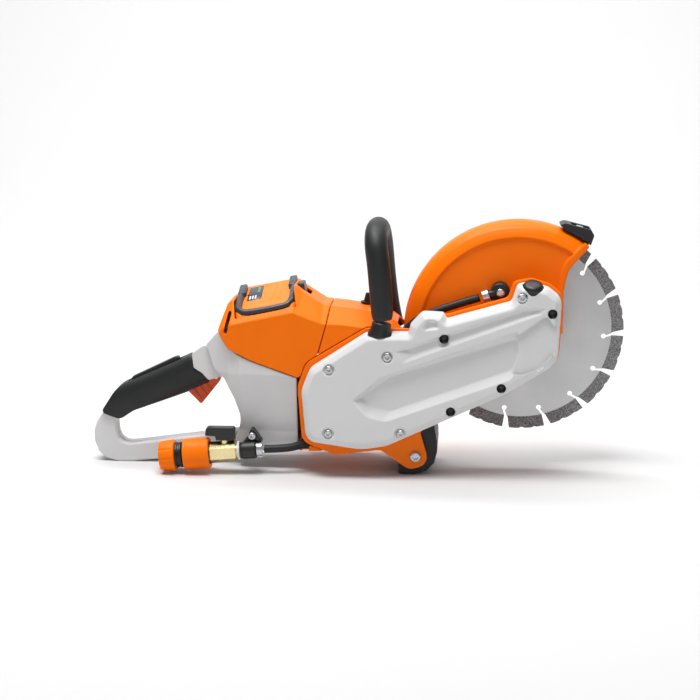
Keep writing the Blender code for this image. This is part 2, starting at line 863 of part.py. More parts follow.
def make_shrouds():
    rear = shell("battery_shroud", BATTERY_SHROUD, BATTERY_ROOM, hood_rings(0), hood_rings(WALL), ORANGE)
    bail = tube("bail_room", bail_path(), 4.8, sides=2, helper=True)
    cut(rear, battery_well(), CASE_ROOM, LATCH_ROOM, bail)
    front = shell("motor_shroud", MOTOR_SHROUD, MOTOR_ROOM, hood_rings(0), hood_rings(WALL), ORANGE)
    outline = rounded([(30, 31, 3), (70, 7, 13), (93, 13, 12), (84, 66, 3), (50, 66, 3)])
    cheek = plate("far_cheek", outline, 30, 36, helper=True)
    near, far = (SPINDLE[0], -25.6, SPINDLE[1]), (SPINDLE[0], 25.6, SPINDLE[1])
    reach = rod("guard_clearance", near, far, 138.5, sides=48, helper=True)
    bolt = rod("cheek_hole", (77, 20, 22), (77, 50, 22), 3.4, sides=16, helper=True)
    arm = plate("arm_room", rounded(grown(ARM, 0.5)), -60, -26.5, helper=True)
    add(front, cheek)
    edge = box("near_edge", (-52, -56, 66), (18, 11, 92), helper=True)
    cut(front, CASE_ROOM, edge, reach, arm, bolt, HANDLE_END_ROOM, HOSE_ENTRY, HOSE_EXIT, PEG_ROOM)


def battery_well():
    """The tilted opening that the battery slides in and out of."""
    lean = math.radians(BATTERY_TILT)
    middle = BATTERY_LENGTH / 2 - 40
    x = BATTERY_TOP[0] + middle * math.sin(lean)
    z = BATTERY_TOP[1] - middle * math.cos(lean)
    size = (2 * BATTERY_HALF[0] + 1.6, 2 * BATTERY_HALF[1] + 2, BATTERY_LENGTH + 84)
    return box("battery_well", (x, 0, z), size, tilt=-BATTERY_TILT, helper=True)


def make_body_shells():
    for side, name in ((1, "body_shell_left"), (-1, "body_shell_right")):
        half = shell(name, BODY, BODY_ROOM, body_rings(0), body_rings(WALL), WHITE)
        other = box(name + "_half", (-100, -side * (50 - 0.15), 100), (200, 100, 240), helper=True)
        cut(half, other)
        if side < 0:
            cut(half, HOSE_ENTRY)


def make_handle():
    for side, name in ((1, "handle_shell_left"), (-1, "handle_shell_right")):
        half = plate(name, rounded(HANDLE), -HANDLE_HALF, HANDLE_HALF, WHITE)
        add_bevel(half, 5.5, 2)
        collar = plate(name + "_collar", rounded(COLLAR), -20, 20, helper=True)
        add_bevel(collar, 5, 2)
        add(half, collar)
        other = box(name + "_half", (-200, -side * (50 - 0.15), 100), (240, 100, 240), helper=True)
        cut(half, TRIGGER_ROOM, PIN_ROOM, LOCKOUT_ROOM, SWITCH_ROOM, other)
    grip = plate("rear_grip", rounded(GRIP), -GRIP_HALF, GRIP_HALF, RUBBER)
    add_bevel(grip, 7, 2)
    core = plate("grip_core", rounded(grown(HANDLE, GAP)), -HANDLE_HALF - GAP, HANDLE_HALF + GAP, helper=True)
    add_bevel(core, 5.5, 2)
    collar = plate("grip_collar", rounded(grown(COLLAR, GAP)), -20 - GAP, 20 + GAP, helper=True)
    cut(grip, core, collar, TRIGGER_ROOM, LOCKOUT_ROOM)
    box("trigger_switch", (-203, 0, 98.2), (20, 12, 6.6), BLACK, tilt=-24, bevel=0.6)


TRIGGER_PIVOT = (-152.5, 99.0)


def make_trigger():
    shape = [(-149, 94.5, 3), (-147.5, 103, 3), (-160, 104, 3), (-189, 91, 3), (-186, 82, 2), (-171, 67, 2)]
    trigger = plate("trigger", rounded(shape), -6.5, 6.5, TRIGGER_RED)
    add_bevel(trigger, 1.2, 1)
    x, z = TRIGGER_PIVOT
    bore = rod("trigger_bore", (x, -20, z), (x, 20, z), 1.9, sides=12, helper=True)
    cut(trigger, bore)
    rod("trigger_pin", (x, -10.2, z), (x, 10.2, z), 1.5, STEEL, sides=12)
    shape = [
        (-253, 91, 1.5), (-249, 88, 2), (-196, 110.5, 2), (-196, 122.5, 2), (-201, 121.5, 4), (-251, 97.5, 3),
    ]
    lever = plate("lockout_lever", rounded(shape), -5, 5, BLACK)
    add_bevel(lever, 1, 1)


def battery_place(a, b, c):
    """The point a along the battery's top, b across it and c above it."""
    lean = math.radians(BATTERY_TILT)
    up = Vector((-math.sin(lean), 0, math.cos(lean)))
    along = Vector((math.cos(lean), 0, math.sin(lean)))
    return tuple(Vector((BATTERY_TOP[0], b, BATTERY_TOP[1])) + along * a + up * c)


def bail_path():
    half_x = BATTERY_HALF[0]
    grip = [
        (-half_x + 4, 24, 5.8),
        (-half_x + 3, -6, 0.6),
        (-half_x + 3, -30, -4.6),
        (-half_x + 6, -39, -8.4),
        (-half_x + 16, -42.4, -11),
        (half_x - 16, -42.4, -11),
        (half_x - 6, -39, -8.4),
        (half_x - 3, -30, -4.6),
        (half_x - 3, -6, 0.6),
        (half_x - 4, 24, 5.8),
    ]
    return smooth_path([battery_place(*p) for p in grip], 2)


def make_battery():
    lean = math.radians(BATTERY_TILT)
    half_x, half_y = BATTERY_HALF
    up = Vector((-math.sin(lean), 0, math.cos(lean)))
    place = battery_place
    section = [
        (-half_y, -15), (-41, -7), (41, 7.5), (half_y, 1),
        (half_y, -BATTERY_LENGTH), (-half_y, -BATTERY_LENGTH),
    ]
    rings = [[place(x, y, h) for y, h in section] for x in (-half_x, half_x)]
    pack = loft("battery_pack", rings, BATTERY_ORANGE)
    add_bevel(pack, 2.5, 1)
    bottom = place(0, 0, -BATTERY_LENGTH)
    socket = box("contact_socket", bottom, (30, 50, 16), tilt=-BATTERY_TILT, helper=True)
    button = rod("button_room", place(-20, 8, -5), place(-20, 8, 5), 4.4, sides=16, helper=True)
    path = bail_path()
    seat = tube("bail_seat", path, 4.4, sides=2, helper=True)
    cut(pack, seat, socket, button)
    tube("battery_bail", path, 3.9, BLACK, sides=3)
    profile = [(0, 1.2), (3.2, 1.2), (4, 0.6), (4, -2.6), (0, -2.6)]
    turned("battery_button", profile, place(-20, 8, 1.4), up, BLACK, steps=16)
    bottom = place(0, 0, -BATTERY_LENGTH - 1.5)
    box("battery_contacts", bottom, (26, 46, 18), BLACK, tilt=-BATTERY_TILT, bevel=1)
    box("battery_latch", place(half_x + 7.2, 0, -3), (7, 24, 20), BLACK, tilt=-BATTERY_TILT, bevel=1.5)


def make_inside():
    box("controller_board", (-82, 0, 62), (44, 66, 12), BLACK, bevel=1)


# ---------------------------------------------------------------- handle tube, foot and small parts


def make_front_handle():
    points = smooth_path([p[:3] for p in HANDLE_PATH], 2)
    weights = [w[0] for w in smooth_path([(p[3],) for p in HANDLE_PATH], 2)]
    tube("front_handle", points, HANDLE_RADIUS, RUBBER, sides=4, weights=weights)
    rod("front_handle_socket", (36.8, -66, 158), (39.6, -66, 175.6), 13.4, BLACK, far_radius=10.6, sides=24)
    profile = [(0, 11), (2.6, 10.4), (4, 0.4), (7, 0.4), (7, -1.6), (3.2, -1.6), (3.2, -8), (0, -8)]
    turned("rubber_buffer", profile, (18.3, 16, 184.8), (0.139, 0, 0.99), BLACK, steps=16)


def make_foot():
    skid = plate("foot_skid", rounded(SKID), CASE_FAR + GAP, 30 - GAP, RUBBER)
    add_bevel(skid, 1.5, 1)
    hole = rod("skid_hole", (77, -60, 22), (77, 50, 22), 3.4, sides=16, helper=True)
    cut(skid, hole)
    profile = [(0, 5), (4, 5), (6.2, 3.6), (6.2, 0.35), (3, 0.35), (3, -92.5), (0, -92.5)]
    screw = turned("foot_screw", profile, (77, CASE_NEAR, 22), (0, -1, 0), STEEL, steps=20)
    outer, inner = (77, CASE_NEAR - 7, 22), (77, CASE_NEAR - 2, 22)
    cut(screw, rod("foot_socket", outer, inner, 2.2, sides=6, helper=True))


# ---------------------------------------------------------------- water feed


def pipe_ring(name, start, end, radius, bore, finish, steps=24, far_radius=None, helper=False):
    """A ring on the inlet's axis, from start to end millimetres along it."""
    last = far_radius or radius
    middle = (start + end) / 2
    half = (end - start) / 2
    profile = [(last, half), (radius, -half), (bore, -half), (bore, half)]
    slope = math.radians(PIPE_SLOPE)
    axis = (math.cos(slope), 0, math.sin(slope))
    return turned(name, profile, pipe_point(middle), axis, finish, steps=steps, helper=helper)


def make_water_inlet():
    nut = pipe_ring("coupling_nut", 5.2, 22.6, 16.6, 9.4, ORANGE, far_radius=17.6)
    for k in range(12):
        angle = math.radians(30 * k)
        y, z = 18.4 * math.cos(angle), 18.4 * math.sin(angle)
        start, end = Vector(pipe_point(3)), Vector(pipe_point(19))
        aside = Vector((0, y, z))
        groove = rod(f"nut_groove_{k}", start + aside, end + aside, 2.6, sides=8, helper=True)
        cut(nut, groove)
    core = pipe_ring("coupling_core", 3.8, 62, 9.0, 5.0, BLACK, steps=20)
    add(core, pipe_ring("coupling_band", 23.2, 30.6, 14.5, 8.0, None, helper=True))
    collar = pipe_ring("coupling_collar", 32.4, 61.6, 17.6, 13.0, ORANGE)
    for k in range(3):
        angle = math.radians(120 * k + 30)
        y, z = 18.6 * math.cos(angle), 18.6 * math.sin(angle)
        start, end = Vector(pipe_point(41)), Vector(pipe_point(53))
        aside = Vector((0, y, z))
        dent = rod(f"collar_dent_{k}", start + aside, end + aside, 3.2, sides=10, helper=True)
        cut(collar, dent)
    valve = rod("valve_body", pipe_point(62.6), pipe_point(91.6), 12.4, BRASS, sides=6)
    nipple = rod("valve_nipple", pipe_point(50), pipe_point(64), 4.5, sides=16, helper=True)
    middle = Vector(pipe_point(78))
    low, high = middle + Vector((0, 0, 8)), middle + Vector((0, 0, 13.6))
    stem = rod("valve_stem", low, high, 4.4, sides=16, helper=True)
    tail = rod("valve_tail", pipe_point(91), pipe_point(96), 8, sides=20, helper=True)
    add(valve, nipple, stem, tail)
    pipe_ring("hose_socket", 96.4, 114, 10, 5.2, BLACK, steps=24)
    pipe_ring("hose_clamp_rear", 114.6, 121.6, 8.2, 5.1, STEEL, steps=20, far_radius=7.9)
    pivot = Vector(pipe_point(78))
    arms = [
        (-21, 19.2, 1.2), (-9.8, 18.8, 0.5), (-8.6, 14.0, 0.5),
        (12, 14.0, 1.5), (12, 28.4, 2), (-20, 28.4, 2.5),
    ]
    shape = [(pivot.x + x, pivot.z + z, r) for x, z, r in arms]
    lever = plate("valve_lever", rounded(shape), pivot.y - 6.5, pivot.y + 6.5, BLACK)
    add_bevel(lever, 1, 1)
    outline = rounded([(-119, 32.5, 2), (-94, 34.5, 2), (-100, 44, 2), (-107, 53, 2), (-111, 42, 6)])
    bracket = plate("hose_bracket", outline, -58, -44, BLACK)
    clear = rod("bracket_clear", pipe_point(90), pipe_point(125), 10.4, sides=24, helper=True)
    outer = loft("bracket_wall", body_rings(-GAP), helper=True)
    hole = rod("bracket_hole", (-106, -70, 43), (-106, -30, 43), 2.6, sides=12, helper=True)
    cut(bracket, clear, outer, hole)
    profile = [(0, 2.6), (3.6, 2.6), (4.4, 1.6), (4.4, 0.3), (2.2, 0.3), (2.2, -13), (0, -13)]
    screw = turned("bracket_screw", profile, (-106, -58, 43), (0, -1, 0), STEEL, steps=16)
    cut(screw, rod("bracket_socket", (-106, -63, 43), (-106, -59.4, 43), 1.8, sides=6, helper=True))


def make_hose():
    tube("water_hose", smooth_path(HOSE, 2), 4.5, RUBBER, sides=2)


# ---------------------------------------------------------------- build

clear_scene()
SAW = collection("rescue_saw_parts")
CUTTERS = collection("cutters")
ROOT = bpy.data.objects.new("rescue_saw", None)
ROOT.location = (-ORIGIN[0] * MM, -ORIGIN[1] * MM, 0)
SAW.objects.link(ROOT)

ORANGE = material("orange", (0.87, 0.19, 0.01), 0.38)
BATTERY_ORANGE = material("battery_orange", (0.9, 0.25, 0.03), 0.42)
WHITE = material("pale_grey", (0.72, 0.72, 0.73), 0.4)
BLACK = material("black", (0.02, 0.022, 0.024), 0.45)
RUBBER = material("rubber", (0.018, 0.02, 0.021), 0.62)
STEEL = material("steel", (0.62, 0.62, 0.63), 0.32, 1.0)
BRASS = material("brass", (0.82, 0.68, 0.38), 0.3, 1.0)
COPPER = material("copper", (0.6, 0.3, 0.18), 0.4, 1.0)
TRIGGER_RED = material("trigger_orange", (0.72, 0.09, 0.01), 0.45)

BUTTON_AXIS = (0.05, -math.sin(math.radians(26)), math.cos(math.radians(26)))
BUTTON_TOP = (204.0, -72.0, 222.0)

SCREW_HOLES = [
    rod(f"screw_hole_{i}", (x, -90, z), (x, -40, z), 2.7, sides=8, helper=True)
    for i, (x, z) in enumerate(COVER_SCREWS)
]
HEAD_ROOMS = [
    rod(f"head_room_{i}", (x, -90, z), (x, COVER_FACE + 3.7, z), 5.3, sides=12, helper=True)
    for i, (x, z) in enumerate(COVER_SCREWS)
]
PLUG_HOLES = [
    rod(f"plug_hole_{i}", (x, -90, z), (x, -60, z), 5.8, sides=10, helper=True)
    for i, (x, z) in enumerate(COVER_PLUGS)
]
SOCKET_ROOM = rod(
    "socket_room", (36.6, -66, 156.8), (40.2, -66, 180), 14.2, far_radius=10.6, sides=24, helper=True,
)
BUTTON_ROOM = rod(
    "button_room_arm",
    Vector(BUTTON_TOP) - Vector(BUTTON_AXIS) * 30,
    Vector(BUTTON_TOP) + Vector(BUTTON_AXIS) * 6,
    12.2,
    helper=True,
)
HOSE_ENTRY = rod("hose_entry", (-86, -60.5, 28.8), (-22, -41, 34.4), 6.8, sides=12, helper=True)
HOSE_EXIT = tube(
    "hose_exit",
    [(53, -41.5, 125), (57, -41, 147), (71, -39, 168), (96, -37, 184)],
    7.6, sides=1, helper=True,
)
CASE_ROOM = plate("case_room", rounded(grown(CASE, 0.7)), -90, CASE_FAR + 0.43, helper=True)
HANDLE_END_ROOM = tube(
    "handle_end_room",
    [p[:3] for p in HANDLE_PATH[-4:]] + [(57, 46, 143)],
    HANDLE_RADIUS + 1.8,
    helper=True,
    weights=[p[3] for p in HANDLE_PATH[-4:]] + [0.44],
)
LATCH_ROOM = box("latch_room", (-51.5, 0, 204), (13, 26, 60), tilt=-BATTERY_TILT, helper=True)
PEG_ROOM = rod("peg_room", (17.5, 16, 170), (17.5, 16, 200), 4.4, sides=16, helper=True)
TRIGGER_ROOM = plate(
    "trigger_room",
    rounded([(-145, 92, 2), (-143, 106, 3), (-162, 109, 3), (-197, 96, 3), (-190, 80, 2), (-171, 60, 2)]),
    -7.5,
    7.5,
    helper=True,
)
PIN_ROOM = rod("pin_room", (-152.5, -10.6, 99), (-152.5, 10.6, 99), 1.9, sides=12, helper=True)
SWITCH_ROOM = box("switch_room", (-201, 0, 101), (28, 14, 13), tilt=-24, helper=True)
LOCKOUT_ROOM = plate(
    "lockout_room",
    rounded([(-256, 90, 2), (-249, 84.5, 2), (-193.5, 103, 2), (-193.5, 130, 2), (-254, 106, 2)]),
    -6,
    6,
    helper=True,
)

make_drive_case()
make_belt_cover()
make_cover_fasteners()
make_spindle_lock()
make_spindle()
make_disc()
make_motor()
make_belt()
make_guard()
make_elbow()
make_shrouds()
make_body_shells()
make_handle()
make_trigger()
make_battery()
make_inside()
make_front_handle()
make_foot()
make_water_inlet()
make_hose()
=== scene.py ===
"""The look of the battery rescue saw: finer forms, materials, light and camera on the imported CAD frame."""

import math

import bmesh
import bpy
from mathutils import Matrix, Vector


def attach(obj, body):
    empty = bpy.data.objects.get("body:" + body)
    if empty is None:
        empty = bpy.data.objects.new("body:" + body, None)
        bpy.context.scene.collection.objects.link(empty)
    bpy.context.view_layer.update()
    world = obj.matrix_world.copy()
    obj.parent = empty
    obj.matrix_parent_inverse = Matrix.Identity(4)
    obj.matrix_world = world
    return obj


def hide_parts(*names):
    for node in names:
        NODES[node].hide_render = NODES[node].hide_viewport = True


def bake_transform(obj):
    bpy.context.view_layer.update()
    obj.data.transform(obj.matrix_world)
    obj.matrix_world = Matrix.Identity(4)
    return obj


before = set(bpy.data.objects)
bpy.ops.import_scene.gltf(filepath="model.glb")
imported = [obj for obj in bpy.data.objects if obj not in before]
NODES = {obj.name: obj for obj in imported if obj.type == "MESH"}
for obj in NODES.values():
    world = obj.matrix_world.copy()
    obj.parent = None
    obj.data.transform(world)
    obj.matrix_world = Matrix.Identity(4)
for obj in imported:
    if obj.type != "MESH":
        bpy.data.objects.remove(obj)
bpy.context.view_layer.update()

# Pieces are drawn in millimetres in the machine's design frame, then moved to the row frame.
SHIFT = Vector((-6.6, 13.4, 0.0))
TO_ROW = Matrix.Scale(0.001, 4) @ Matrix.Translation(SHIFT)
TO_DESIGN = TO_ROW.inverted()

SPINDLE = (193.2, 158.8)
DISC_RADIUS = 115.0
SEGMENTS = 15
FIRST_SLOT = 22.3  # degrees from the X axis to the first slot's mouth
GUARD_CENTRE = (189.0, 155.0)
ELBOW = (169.0, 206.0)
HANDLE_RADIUS = 12.7
HOSE_RADIUS = 4.5
COVER_FACE = -79.0
TO_NEAR = (0, -1, 0)
PIPE_SLOPE = 5.0
PIPE_START = (-215.0, -58.0, 17.9)
BATTERY_TILT = 11.0
BATTERY_TOP = (-94.0, 195.0)


# ---------------------------------------------------------------- outlines


def rounded(corners, arc=10):
    """Points of a polygon whose corners (x, z, radius) are rounded with arc + 1 points each."""
    points = []
    count = len(corners)
    for i, (x, z, radius) in enumerate(corners):
        here = Vector((x, z))
        if radius <= 0:
            points.append(tuple(here))
            continue
        back = (Vector(corners[i - 1][:2]) - here).normalized()
        ahead = (Vector(corners[(i + 1) % count][:2]) - here).normalized()
        half = back.angle(ahead) / 2
        reach = radius / math.tan(half)
        centre = here + (back + ahead).normalized() * (radius / math.sin(half))
        start = here + back * reach - centre
        end = here + ahead * reach - centre
        sweep = math.atan2(start.x * end.y - start.y * end.x, start.dot(end))
        for k in range(arc + 1):
            points.append(tuple(centre + Matrix.Rotation(sweep * k / arc, 2) @ start))
    return points


def inset(corners, distance):
    """The counter-clockwise polygon moved inwards by distance, its corner radii with it."""
    moved = []
    count = len(corners)
    for i, (x, z, radius) in enumerate(corners):
        here = Vector((x, z))
        into = (here - Vector(corners[i - 1][:2])).normalized()
        out = (Vector(corners[(i + 1) % count][:2]) - here).normalized()
        normal_in = Vector((-into.y, into.x))
        mitre = (normal_in + Vector((-out.y, out.x))).normalized()
        point = here + mitre * (distance / mitre.dot(normal_in))
        convex = into.x * out.y - into.y * out.x > 0
        changed = radius - distance if convex else radius + distance
        moved.append((point.x, point.y, max(changed, 0.0) if radius > 0 else 0.0))
    return moved


def on_circle(centre, radius, degrees):
    angle = math.radians(degrees)
    return (centre[0] + radius * math.cos(angle), centre[1] + radius * math.sin(angle))


def arc_points(centre, radius, start, end, count):
    return [on_circle(centre, radius, start + (end - start) * k / count) for k in range(count + 1)]


def smooth_path(points, samples):
    """Points along a Catmull-Rom curve through the given ones, samples to each stretch."""
    made = []
    for i in range(len(points) - 1):
        p0, p1 = points[max(i - 1, 0)], points[i]
        p2, p3 = points[i + 1], points[min(i + 2, len(points) - 1)]
        for k in range(samples):
            t = k / samples
            value = []
            for a, b, c, d in zip(p0, p1, p2, p3):
                bend = (2 * a - 5 * b + 4 * c - d) * t * t
                twist = (3 * b - a - 3 * c + d) * t ** 3
                value.append((2 * b + (c - a) * t + bend + twist) / 2)
            made.append(tuple(value))
    made.append(tuple(points[-1]))
    return made


# ---------------------------------------------------------------- solids, in millimetres


def new_object(name, work):
    """An unlinked bmesh made into a scene object."""
    bmesh.ops.recalc_face_normals(work, faces=work.faces)
    mesh = bpy.data.meshes.new(name)
    work.to_mesh(mesh)
    work.free()
    made = bpy.data.objects.new(name, mesh)
    bpy.context.scene.collection.objects.link(made)
    return made


def prism(name, outlines, near, far):
    """Flat outlines in the XZ plane, later ones as holes, from Y near to Y far."""
    if isinstance(outlines[0][0], (int, float)):
        outlines = [outlines]
    curve = bpy.data.curves.new(name, "CURVE")
    curve.dimensions = "2D"
    curve.fill_mode = "BOTH"
    curve.extrude = (far - near) / 2
    for outline in outlines:
        spline = curve.splines.new("POLY")
        spline.points.add(len(outline) - 1)
        for point, (x, z) in zip(spline.points, outline):
            point.co = (x, z, 0, 1)
        spline.use_cyclic_u = True
    guide = bpy.data.objects.new(name, curve)
    bpy.context.scene.collection.objects.link(guide)
    graph = bpy.context.evaluated_depsgraph_get()
    mesh = bpy.data.meshes.new_from_object(guide.evaluated_get(graph))
    bpy.data.objects.remove(guide)
    bpy.data.curves.remove(curve)
    work = bmesh.new()
    work.from_mesh(mesh)
    bpy.data.meshes.remove(mesh)
    bmesh.ops.remove_doubles(work, verts=work.verts, dist=0.005)
    place = Matrix.Translation((0, (near + far) / 2, 0)) @ Matrix.Rotation(math.radians(90), 4, "X")
    bmesh.ops.transform(work, matrix=place, verts=work.verts)
    return new_object(name, work)


def cone(name, start, end, radius, far_radius=None, sides=48):
    start, end = Vector(start), Vector(end)
    work = bmesh.new()
    far = radius if far_radius is None else far_radius
    depth = (end - start).length
    bmesh.ops.create_cone(work, cap_ends=True, segments=sides, radius1=radius, radius2=far, depth=depth)
    turn = (end - start).to_track_quat("Z", "Y").to_matrix().to_4x4()
    bmesh.ops.transform(work, matrix=Matrix.Translation((start + end) / 2) @ turn, verts=work.verts)
    return new_object(name, work)


def block(name, centre, size, tilt=0.0):
    work = bmesh.new()
    bmesh.ops.create_cube(work, size=1.0)
    turn = Matrix.Rotation(math.radians(tilt), 4, "Y") @ Matrix.Diagonal((*size, 1.0))
    bmesh.ops.transform(work, matrix=Matrix.Translation(centre) @ turn, verts=work.verts)
    return new_object(name, work)


def loft(name, rings):
    work = bmesh.new()
    layers = [[work.verts.new(p) for p in ring] for ring in rings]
    count = len(layers[0])
    for low, high in zip(layers, layers[1:]):
        for i in range(count):
            j = (i + 1) % count
            work.faces.new((low[i], low[j], high[j], high[i]))
    work.faces.new(reversed(layers[0]))
    work.faces.new(layers[-1])
    return new_object(name, work)


def turned(name, profile, centre, axis=(0, -1, 0), steps=64, wave=None):
    """A closed profile of (radius, height) turned round axis; wave(angle, height) scales the radius."""
    turn = Vector(axis).to_track_quat("Z", "Y").to_matrix()
    work = bmesh.new()
    rings = []
    for radius, height in profile:
        if radius == 0:
            rings.append([work.verts.new(Vector(centre) + turn @ Vector((0, 0, height)))])
            continue
        ring = []
        for k in range(steps):
            angle = 2 * math.pi * k / steps
            r = radius * (wave(angle, height) if wave and radius > 10 else 1.0)
            spot = Vector((r * math.cos(angle), r * math.sin(angle), height))
            ring.append(work.verts.new(Vector(centre) + turn @ spot))
        rings.append(ring)
    pairs = list(zip(rings, rings[1:]))
    if profile[0][0] and profile[-1][0]:
        pairs.append((rings[-1], rings[0]))
    for one, two in pairs:
        for k in range(steps):
            j = (k + 1) % steps
            corners = [one[k % len(one)], one[j % len(one)], two[j % len(two)], two[k % len(two)]]
            unique = list(dict.fromkeys(corners))
            if len(unique) > 2:
                work.faces.new(unique)
    return new_object(name, work)


def sweep(name, path, radii, sides=24):
    """A round bar along path, with one radius for each point."""
    path = [Vector(p) for p in path]
    work = bmesh.new()
    rings = []
    side = None
    for i, here in enumerate(path):
        ahead = (path[min(i + 1, len(path) - 1)] - path[max(i - 1, 0)]).normalized()
        if side is None:
            side = ahead.orthogonal().normalized()
        side = (side - ahead * side.dot(ahead)).normalized()
        up = ahead.cross(side)
        ring = []
        for k in range(sides):
            angle = 2 * math.pi * k / sides
            spot = side * math.cos(angle) + up * math.sin(angle)
            ring.append(work.verts.new(here + spot * radii[i]))
        rings.append(ring)
    for one, two in zip(rings, rings[1:]):
        for k in range(sides):
            j = (k + 1) % sides
            work.faces.new((one[k], one[j], two[j], two[k]))
    work.faces.new(reversed(rings[0]))
    work.faces.new(rings[-1])
    return new_object(name, work)


def cad_copy(node):
    """A CAD node's own solid in design millimetres."""
    mesh = NODES[node].data.copy()
    mesh.transform(TO_DESIGN)
    mesh.materials.clear()
    work = bmesh.new()
    work.from_mesh(mesh)
    bpy.data.meshes.remove(mesh)
    bmesh.ops.remove_doubles(work, verts=work.verts, dist=0.005)
    return new_object(node + "_copy", work)


def apply_all(obj):
    graph = bpy.context.evaluated_depsgraph_get()
    mesh = bpy.data.meshes.new_from_object(obj.evaluated_get(graph))
    obj.modifiers.clear()
    old = obj.data
    obj.data = mesh
    bpy.data.meshes.remove(old)
    return obj


def shape(obj, steps):
    """Applies ("UNION" or "DIFFERENCE" or "INTERSECT", other) steps and removes the others."""
    for operation, other in steps:
        step = obj.modifiers.new("step", "BOOLEAN")
        step.operation = operation
        step.solver = "EXACT"
        step.object = other
    apply_all(obj)
    for _, other in steps:
        mesh = other.data
        bpy.data.objects.remove(other)
        if mesh.users == 0:
            bpy.data.meshes.remove(mesh)
    return obj


def bevelled(obj, width, steps=2, angle=35):
    bevel = obj.modifiers.new("bevel", "BEVEL")
    bevel.width = width
    bevel.segments = steps
    bevel.limit_method = "ANGLE"
    bevel.angle_limit = math.radians(angle)
    return apply_all(obj)


def softened(obj, voxel=0.9, rounds=4, keep=0.4):
    """A moulded skin: the solid remeshed, its edges eased, then thinned out."""
    remesh = obj.modifiers.new("remesh", "REMESH")
    remesh.mode = "VOXEL"
    remesh.voxel_size = voxel
    smooth = obj.modifiers.new("ease", "SMOOTH")
    smooth.factor = 0.5
    smooth.iterations = rounds
    if keep < 1:
        thin = obj.modifiers.new("thin", "DECIMATE")
        thin.ratio = keep
    return apply_all(obj)


def piece(obj, name, body, finish, nodes=(), smooth=True, angle=40):
    """Finishes a solid as a piece of the object: row frame, shading, body, finish and replaced nodes."""
    obj.data.transform(TO_ROW)
    obj.name = name
    obj.data.name = name
    obj.data.materials.clear()
    obj.data.materials.append(finish)
    if smooth:
        obj.data.shade_smooth()
        if angle:
            obj.data.set_sharp_from_angle(angle=math.radians(angle))
    if body:
        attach(obj, body)
    if nodes:
        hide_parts(*nodes)
    return obj


# ---------------------------------------------------------------- materials


class Finish:
    """Builds one node material; the texture runs in the row frame, in metres."""

    def __init__(self, name, colour, rough, metallic=0.0, specular=0.5, coat=0.0):
        self.material = bpy.data.materials.new(name)
        self.material.use_nodes = True
        self.tree = self.material.node_tree
        self.shader = self.tree.nodes["Principled BSDF"]
        self.colour = colour
        self.set("Base Color", (*colour, 1.0))
        self.set("Roughness", rough)
        self.set("Metallic", metallic)
        self.set("Specular IOR Level", specular)
        self.set("Coat Weight", coat)
        self.set("Coat Roughness", 0.12)
        self.place = self.tree.nodes.new("ShaderNodeTexCoord").outputs["Object"]
        self.height = None
        self.tint = None

    def set(self, socket, value):
        self.shader.inputs[socket].default_value = value

    def node(self, kind, **values):
        made = self.tree.nodes.new(kind)
        for key, value in values.items():
            setattr(made, key, value)
        return made

    def link(self, out, into):
        self.tree.links.new(out, into)

    def noise(self, scale, detail=3.0, stretch=None):
        made = self.node("ShaderNodeTexNoise")
        made.inputs["Scale"].default_value = scale
        made.inputs["Detail"].default_value = detail
        source = self.place
        if stretch:
            mapping = self.node("ShaderNodeMapping")
            mapping.inputs["Scale"].default_value = stretch
            self.link(source, mapping.inputs["Vector"])
            source = mapping.outputs["Vector"]
        self.link(source, made.inputs["Vector"])
        return made.outputs["Fac"]

    def range(self, value, low, high, to_low=0.0, to_high=1.0):
        made = self.node("ShaderNodeMapRange")
        self.link(value, made.inputs["Value"])
        for key, number in (("From Min", low), ("From Max", high), ("To Min", to_low), ("To Max", to_high)):
            made.inputs[key].default_value = number
        return made.outputs["Result"]

    def math(self, operation, one, two=None):
        made = self.node("ShaderNodeMath", operation=operation)
        for socket, value in zip(made.inputs, (one, two)):
            if value is None:
                continue
            if isinstance(value, (int, float)):
                socket.default_value = value
            else:
                self.link(value, socket)
        return made.outputs[0]

    def mix_colour(self, factor, colour):
        """Paints colour over what is there, by factor."""
        made = self.node("ShaderNodeMix", data_type="RGBA")
        self.link(factor, made.inputs["Factor"])
        if self.tint is None:
            made.inputs["A"].default_value = (*self.colour, 1.0)
        else:
            self.link(self.tint, made.inputs["A"])
        made.inputs["B"].default_value = (*colour, 1.0)
        self.tint = made.outputs["Result"]
        self.link(self.tint, self.shader.inputs["Base Color"])

    def roughness(self, value, low, high):
        self.link(self.range(value, 0.3, 0.7, low, high), self.shader.inputs["Roughness"])

    def bump(self, height, distance, strength=1.0):
        made = self.node("ShaderNodeBump")
        made.inputs["Distance"].default_value = distance
        made.inputs["Strength"].default_value = strength
        self.link(height, made.inputs["Height"])
        if self.height is not None:
            self.link(self.height, made.inputs["Normal"])
        self.height = made.outputs["Normal"]
        self.link(self.height, self.shader.inputs["Normal"])

    def wear(self, colour, amount=0.5):
        """Rubbed convex edges in a lighter colour, broken up by noise."""
        edge = self.node("ShaderNodeNewGeometry").outputs["Pointiness"]
        broken = self.math("MULTIPLY", self.range(edge, 0.53, 0.6), self.range(self.noise(90), 0.4, 0.65))
        self.mix_colour(self.math("MULTIPLY", broken, amount), colour)


def plastic(name, colour, rough, grain=0.00004, shade=0.9, edge=None, coat=0.0, specular=0.5):
    """Moulded plastic: slight colour drift, spark-eroded grain and rubbed edges."""
    made = Finish(name, colour, rough, specular=specular, coat=coat)
    made.mix_colour(made.range(made.noise(14, 4), 0.35, 0.75, 0.0, 0.5), tuple(c * shade for c in colour))
    if edge:
        made.wear(edge, 0.35)
    made.roughness(made.noise(60, 5), rough - 0.05, rough + 0.08)
    made.bump(made.noise(1400, 2), grain)
    return made


